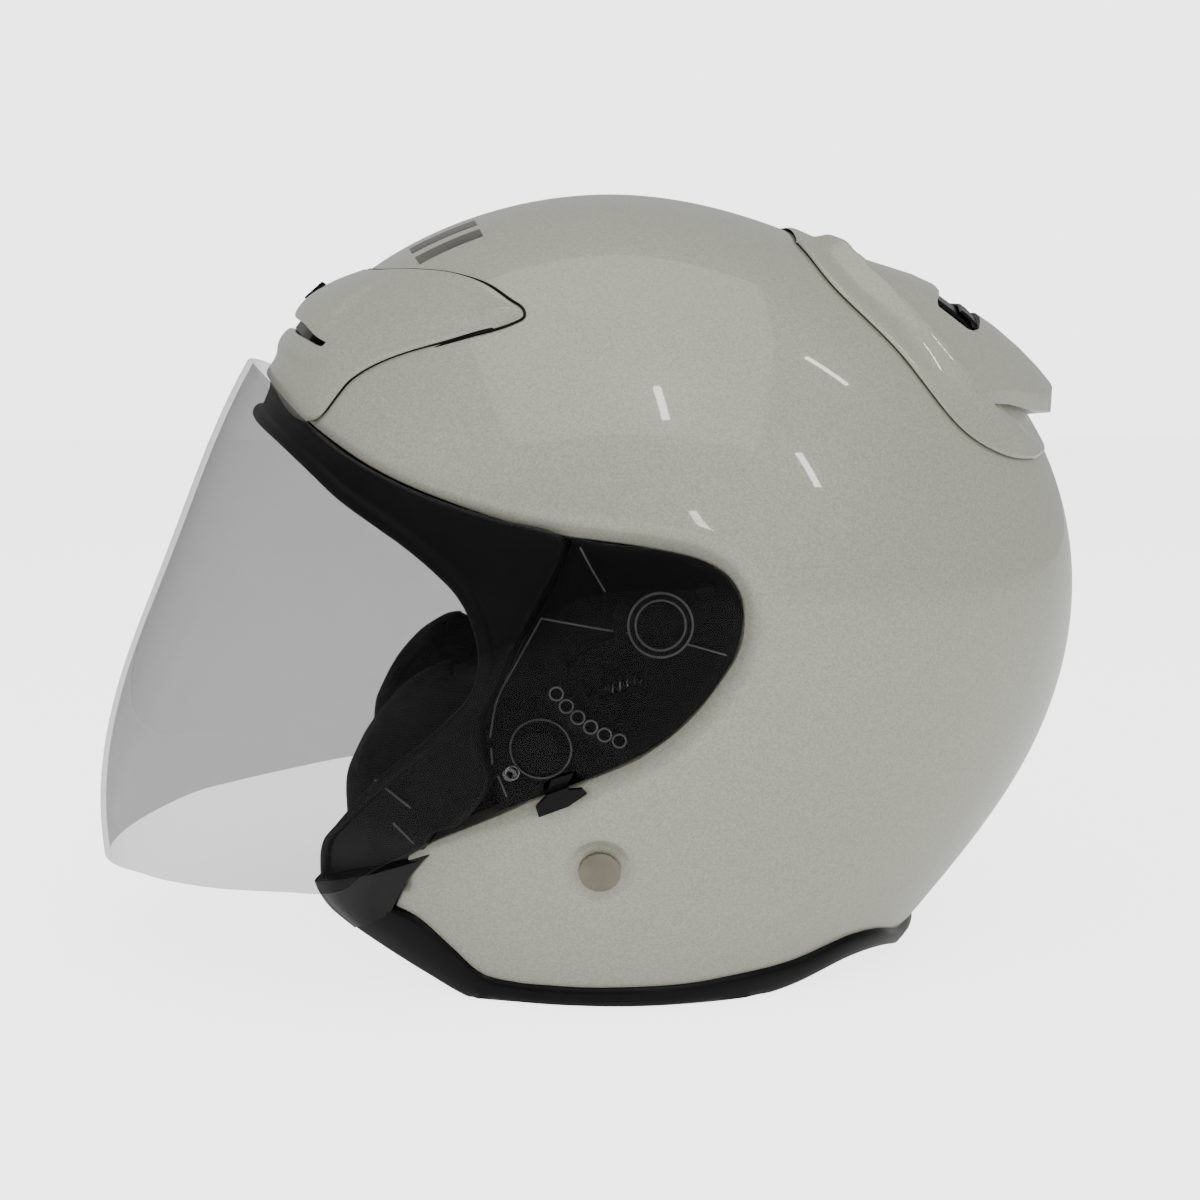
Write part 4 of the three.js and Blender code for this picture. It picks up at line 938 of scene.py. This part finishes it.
def exhaust_hood():
    points = shell.over(np.array(HOOD_ANGLE, float), np.array(HOOD_X, float), np.array(HOOD_HEIGHT, float))
    grid = np.concatenate([mirror(points)[:, ::-1][:, :-1], points], axis=1)
    columns = grid.shape[1]
    piece = cover_sheet("exhaust_hood", grid, lambda i, j: 5 <= i < 8 and 3 <= j < columns - 4, sharp=24)
    rounding = piece.modifiers.new("edges", "BEVEL")
    rounding.width, rounding.segments = 0.7 * MM, 3
    rounding.limit_method, rounding.angle_limit = "ANGLE", math.radians(22)


# ---------------------------------------------------------------- forehead mark
MARK_ANGLES = np.linspace(123.6, 113.6, 24)
MARK_SPANS = ((28.0, 37.0), (43.0, 50.5))
MARK_COLUMNS, MARK_HEIGHT = 8, 0.12


def forehead_mark():
    """A plain two-stripe mark, thin paint on the crown."""
    for k, (x0, x1) in enumerate(MARK_SPANS):
        degrees, xs = np.meshgrid(MARK_ANGLES, np.linspace(x0, x1, MARK_COLUMNS), indexing="ij")
        stripe = shell.over(degrees, xs, MARK_HEIGHT).reshape(-1, 3)
        points, faces = both_sides(stripe, grid_faces(len(MARK_ANGLES), MARK_COLUMNS))
        make("forehead_stripe_%d" % k, points, faces, MARK, "shell_paint")


# ---------------------------------------------------------------- CAD nodes that stay
def dress(names, material, width=0.3):
    """Gives CAD nodes their material and softens their edges."""
    for name in names:
        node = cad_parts[name]
        node.data.materials.clear()
        node.data.materials.append(material)
        if "custom_normal" in node.data.attributes:
            node.data.attributes.remove(node.data.attributes["custom_normal"])
        weld = node.modifiers.new("weld", "WELD")
        weld.merge_threshold = 1e-5
        bevel = node.modifiers.new("bevel", "BEVEL")
        bevel.width, bevel.segments = width * MM, 2
        bevel.limit_method, bevel.angle_limit = "ANGLE", math.radians(32)
        bevel.harden_normals = True
        node.data.shade_smooth()


# ---------------------------------------------------------------- soft goods
VOXEL = 5.0
PUFF_FRAMES = 20


def remeshed(node, name, material):
    """A copy of a CAD solid with even faces."""
    piece = bpy.data.objects.new(name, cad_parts[node].data.copy())
    bpy.context.scene.collection.objects.link(piece)
    remesh = piece.modifiers.new("remesh", "REMESH")
    remesh.mode, remesh.voxel_size = "VOXEL", VOXEL * MM
    mesh = evaluated_mesh(piece)
    piece.modifiers.clear()
    piece.data = mesh
    mesh.name = name
    mesh.materials.clear()
    mesh.materials.append(material)
    return piece


def evaluated_mesh(piece):
    return bpy.data.meshes.new_from_object(piece.evaluated_get(bpy.context.evaluated_depsgraph_get()))


def vertex_rows(mesh, attribute):
    values = np.zeros(len(mesh.vertices) * 3)
    mesh.vertices.foreach_get(attribute, values)
    return values.reshape(-1, 3)


def puffed(piece):
    """Where the points of a cover go when it is filled under pressure."""
    puff = piece.modifiers.new("cloth", "CLOTH")
    puff.settings.quality = 5
    puff.settings.mass = 0.3
    puff.settings.use_pressure = True
    puff.settings.uniform_pressure_force = 4.0
    puff.settings.effector_weights.gravity = 0.0
    scene = bpy.context.scene
    puff.point_cache.frame_start, puff.point_cache.frame_end = 1, PUFF_FRAMES
    for step in range(1, PUFF_FRAMES + 1):
        scene.frame_set(step)
    moved = evaluated_mesh(piece)
    end = vertex_rows(moved, "co")
    bpy.data.meshes.remove(moved)
    piece.modifiers.clear()
    scene.frame_set(1)
    return end


def stuffed(node, name, material, shrink=3.0, cap=5.0):
    """A padded piece: its CAD solid shrunk and blown up again, no point moving further than the cap."""
    piece = remeshed(node, name, material)
    mesh = piece.data
    out = vertex_rows(mesh, "normal")
    start = vertex_rows(mesh, "co") - out * shrink * MM
    mesh.vertices.foreach_set("co", start.ravel())
    mesh.update()
    shift = puffed(piece) - start
    length = np.linalg.norm(shift, axis=1)[:, None]
    shift *= np.minimum(1.0, cap * MM / np.maximum(length, 1e-9))
    mesh.vertices.foreach_set("co", (start + shift).ravel())
    mesh.shade_smooth()
    subdivide(piece, 1)
    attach(piece, "helmet")
    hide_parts(node)
    return piece


SEAM_RADIUS = 0.9
SEAM_PROUD = 0.35   # the share of its radius by which a seam's middle stands proud of the pad
RAY_BACK = 0.12     # metres that a seam's rays start behind its path


def piping(pad, name, path, towards):
    """A sewn cord on a pad: the path is dropped onto the pad's surface along a direction."""
    tree = BVHTree.FromObject(pad, bpy.context.evaluated_depsgraph_get())
    ray = Vector(towards)
    hits = [tree.ray_cast(Vector(p) * MM - ray * RAY_BACK, ray, 2 * RAY_BACK)[0] for p in path]
    line = [np.array(hit - ray * (SEAM_PROUD * SEAM_RADIUS * MM)) / MM for hit in hits if hit is not None]
    line = smooth(line, len(line) * 2)
    for _ in range(3):
        line[1:-1] = (line[:-2] + 2 * line[1:-1] + line[2:]) / 4
    make(name, *tube(line, SEAM_RADIUS, 8), PIPING, "liner_fabric")


CHEEK = [[-62.9, -14.3], [-76.6, -24.1], [-90.3, -39.7], [-97.6, -53.4], [-98.6, -72], [-92, -88],
         [-74, -97], [-52, -103], [-6, -103], [8, -92], [12, -60], [8, -26], [-6, -17]]
# Seams as shares of the cheek pad's outline, and places along Y of those across the crown.
CHEEK_SEAMS = (0.84, 0.5)
CROWN_SEAMS = (-40.0, -5.0, 32.0, 66.0)


def pads():
    ring = np.array([[0.0, a + PIVOT_Y, b + PIVOT_Z] for a, b in CHEEK + CHEEK[:1]])
    middle = ring.mean(axis=0)
    for side, sign in (("left", 1), ("right", -1)):
        pad = stuffed("cheek_pad_" + side, "cheek_cushion_" + side, FABRIC)
        for k, share in enumerate(CHEEK_SEAMS):
            path = smooth(middle + (ring - middle) * share, 80)
            piping(pad, "cheek_seam_%s_%d" % (side, k), path, (sign, 0.0, 0.0))
    crown = stuffed("crown_pad", "crown_cushion", MESH_CLOTH, shrink=2.0, cap=3.0)
    stuffed("neck_roll", "neck_cushion", FABRIC, shrink=2.5, cap=4.0)
    for k, y in enumerate(CROWN_SEAMS):
        path = [[x, y, 120.0] for x in np.linspace(-60, 60, 61)]
        piping(crown, "crown_seam_%d" % k, path, (0.0, 0.0, 1.0))


# ---------------------------------------------------------------- chin strap
# The strap hangs from the rivets. Its runs are (X, drop below the rivets) in the plane across the chin.
HANG_Y, HANG_Z = PIVOT_Y + RIVET[0], PIVOT_Z + RIVET[1]
STRAP_WIDTH, STRAP_THICKNESS = 20.0, 1.8
SIDE_RUN = [[99.4, 5], [99.2, 12], [96.4, 23], [90.6, 33], [83.5, 39.3], [74, 41.2]]
LONG_RUN = SIDE_RUN + [[40, 41.4], [0, 41.4], [-34, 41.4], [-44, 41.6], [-48.6, 40], [-50.2, 37],
                       [-48.6, 33.8], [-44, 32.3], [-37, 33], [-29, 36.6], [-20, 38.6], [8, 38.8], [38, 38.8]]
SHORT_RUN = [[-x, drop] for x, drop in SIDE_RUN] + [[-66, 41.4], [-58, 41.4], [-55.4, 40], [-54.7, 37.4],
                                                    [-55.4, 34.6], [-58, 33.2], [-64, 34.6], [-70, 37.4],
                                                    [-76, 38.6]]
WEB_SECTION = [
    (-1, 0), (-0.985, 0.75), (-0.93, 1), (-0.8, 0.92), (-0.3, 1.0), (0, 0.92), (0.3, 1.0), (0.8, 0.92),
    (0.93, 1), (0.985, 0.75), (1, 0), (0.985, -0.75), (0.93, -1), (0.8, -0.92), (0.3, -1.0), (0, -0.92),
    (-0.3, -1.0), (-0.8, -0.92), (-0.93, -1), (-0.985, -0.75)
]


def web_frame(run, count):
    """Middle points of the webbing and the directions out of its face."""
    line = smooth(run, count)
    along = unit(np.gradient(line, axis=0))
    middle = np.stack([line[:, 0], np.full(count, HANG_Y), HANG_Z - line[:, 1]], axis=1)
    out = np.stack([along[:, 1], np.zeros(count), along[:, 0]], axis=1)
    return middle, out


def strap():
    for name, run in (("chin_strap_long", LONG_RUN), ("chin_strap_short", SHORT_RUN)):
        middle, out = web_frame(run, 160)
        rings = [[m + o * (STRAP_THICKNESS / 2) * v + np.array([0, u * STRAP_WIDTH / 2, 0])
                  for u, v in WEB_SECTION] for m, o in zip(middle, out)]
        piece = make(name.replace("chin_strap", "strap_web"), *swept(rings), WEBBING, "strap_webbing",
                     "strap", 60)
        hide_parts(name)
    stitches("stitch_long", LONG_RUN, 0.03, 0.16)
    stitches("stitch_short", SHORT_RUN, 0.05, 0.28)


STITCH_ROW, STITCH_SWING = 6.0, 0.8


def stitches(name, run, start, end):
    """Two zigzag rows of thread on the webbing near its anchor, between two shares of its run."""
    count = 400
    middle, out = web_frame(run, count)
    for row, offset in enumerate((-STITCH_ROW, STITCH_ROW)):
        line = []
        for k, i in enumerate(range(int(start * count), int(end * count), 3)):
            swing = STITCH_SWING if k % 2 else -STITCH_SWING
            line.append(middle[i] + out[i] * (STRAP_THICKNESS / 2 + 0.05) + np.array([0, offset + swing, 0]))
        make("%s_%d" % (name, row), *tube(line, 0.28, 6), THREAD, "strap_webbing", "strap")


# ---------------------------------------------------------------- mechanism details, with painted highlights on its edges
# The rack's notches stand on an arc about the hinge: count, first angle, step and radius.
NOTCHES, NOTCH_START, NOTCH_STEP, NOTCH_ARC = 6, 214.3, 7.4, 36.2
# Other rings: name, centre, radius, wire radius, depth, material. The light grey ones are painted highlights
# round the hub and the screw cap; the steel one rings the snap peg.
RINGS = [
    ("hub_highlight_ring", (0.0, 0.0), 9.2, 0.4, 0.8, EDGE_HIGHLIGHT),
    ("hub_cup_highlight_ring", (0.0, 0.0), 7.2, 0.35, 0.8, EDGE_HIGHLIGHT),
    ("cap_highlight_ring", (-34.7, -37.6), 9.0, 0.3, 3.7, EDGE_HIGHLIGHT),
    ("peg_ring", (-42.9, -44.7), 2.0, 0.3, 2.8, STEEL),
]
# Light grey lines along the base plate's edges and along the beading: painted highlights.
HIGHLIGHT_LINES = [
    [[-23.2, 22.4], [-19.8, 16.0], [-15.9, 9.5]],
    [[-13.6, 3.0], [-10.0, 1.4]],
    [[-34.5, 1.6], [-41.1, -10.5], [-47.6, -23.2], [-49.7, -34.7]],
    [[-49.4, -37.9], [-49.1, -43.0]],
    [[-47.4, -46.4], [-44.8, -52.9]],
    [[-34.8, 1.6], [-17.0, -1.5], [-0.1, -5.4], [19.8, -9.5]],
]
BEAD_HIGHLIGHT_LINES = [
    [[-78.4, -62.9], [-72.1, -69.0]],
    [[-83.8, -49.4], [-78.3, -53.3], [-72.9, -57.3]],
]


def line_on(name, places, depth, radius):
    """A thin light grey cord over the shell's skin on both sides, a painted highlight along a dark edge."""
    chart = smooth([shell.chart(*p) for p in places], 12 * (len(places) - 1) + 1)
    for side, line in left_and_right(shell.on(chart, depth)):
        make(name + "_" + side, *tube(line, radius, 8), EDGE_HIGHLIGHT, "mechanism_black")


def ring_on(name, centre, radius, wire, depth, material):
    """A thin ring over the shell's skin on both sides; the light grey ones are painted highlights."""
    places = [shell.chart(centre[0] + radius * math.cos(t), centre[1] + radius * math.sin(t))
              for t in np.linspace(0, 2 * math.pi, 41)[:-1]]
    line = np.array([shell.on(place, depth) for place in places])
    along = unit(np.roll(line, -1, axis=0) - np.roll(line, 1, axis=0))
    rings = wire_rings(line, along, np.cross(along, np.array([1.0, 0.0, 0.0])), wire, 8)
    for side, points in left_and_right(np.concatenate([rings, rings[:1]])):
        make(name + "_" + side, *swept(points, False), material, "mechanism_black")


def mechanism_details():
    for i in range(NOTCHES):
        angle = math.radians(NOTCH_START + NOTCH_STEP * i)
        centre = (NOTCH_ARC * math.cos(angle), NOTCH_ARC * math.sin(angle))
        # light grey rims round the notches: painted highlights
        ring_on("rack_ring_%d" % i, centre, 1.95, 0.28, 2.5, NOTCH_HIGHLIGHT)
    for ring in RINGS:
        ring_on(*ring)
    for k, places in enumerate(HIGHLIGHT_LINES):
        line_on("moulded_line_%d" % k, places, 3.85, 0.3)
    for k, places in enumerate(BEAD_HIGHLIGHT_LINES):
        line_on("bead_line_%d" % k, places, 1.5, 0.35)


def pair(name):
    return [name + "_left", name + "_right"]


add_camera()
add_floor()
add_world()
add_lights()
shell_skin()
pocket_floor()
edgings()
shield()
brow_cover()
rear_cover()
exhaust_hood()
forehead_mark()
dress(pair("base_plate"), MOULDED)
dress(pair("ratchet_rack") + pair("base_screw_cap") + pair("base_screw"), BRIGHT_EDGE, 0.25)
dress(pair("pivot_hub") + pair("lock_lever"), MOULDED, 0.25)
dress(pair("release_trigger"), MOULDED, 0.8)
dress(pair("lock_spring") + pair("snap_peg"), STEEL, 0.15)
dress(["brow_vent_duct", "brow_vent_slider", "exhaust_grille", "exhaust_shutter"], SATIN_BLACK, 0.4)
dress(["foam_liner"] + pair("cheek_foam"), FOAM, 1.0)
pads()
strap()
mechanism_details()
dress(["d_ring_lower", "d_ring_upper"] + pair("strap_anchor"), STEEL, 0.3)
dress(["strap_snap"], SATIN_BLACK, 0.3)
dress(pair("strap_rivet"), BRONZE, 0.5)
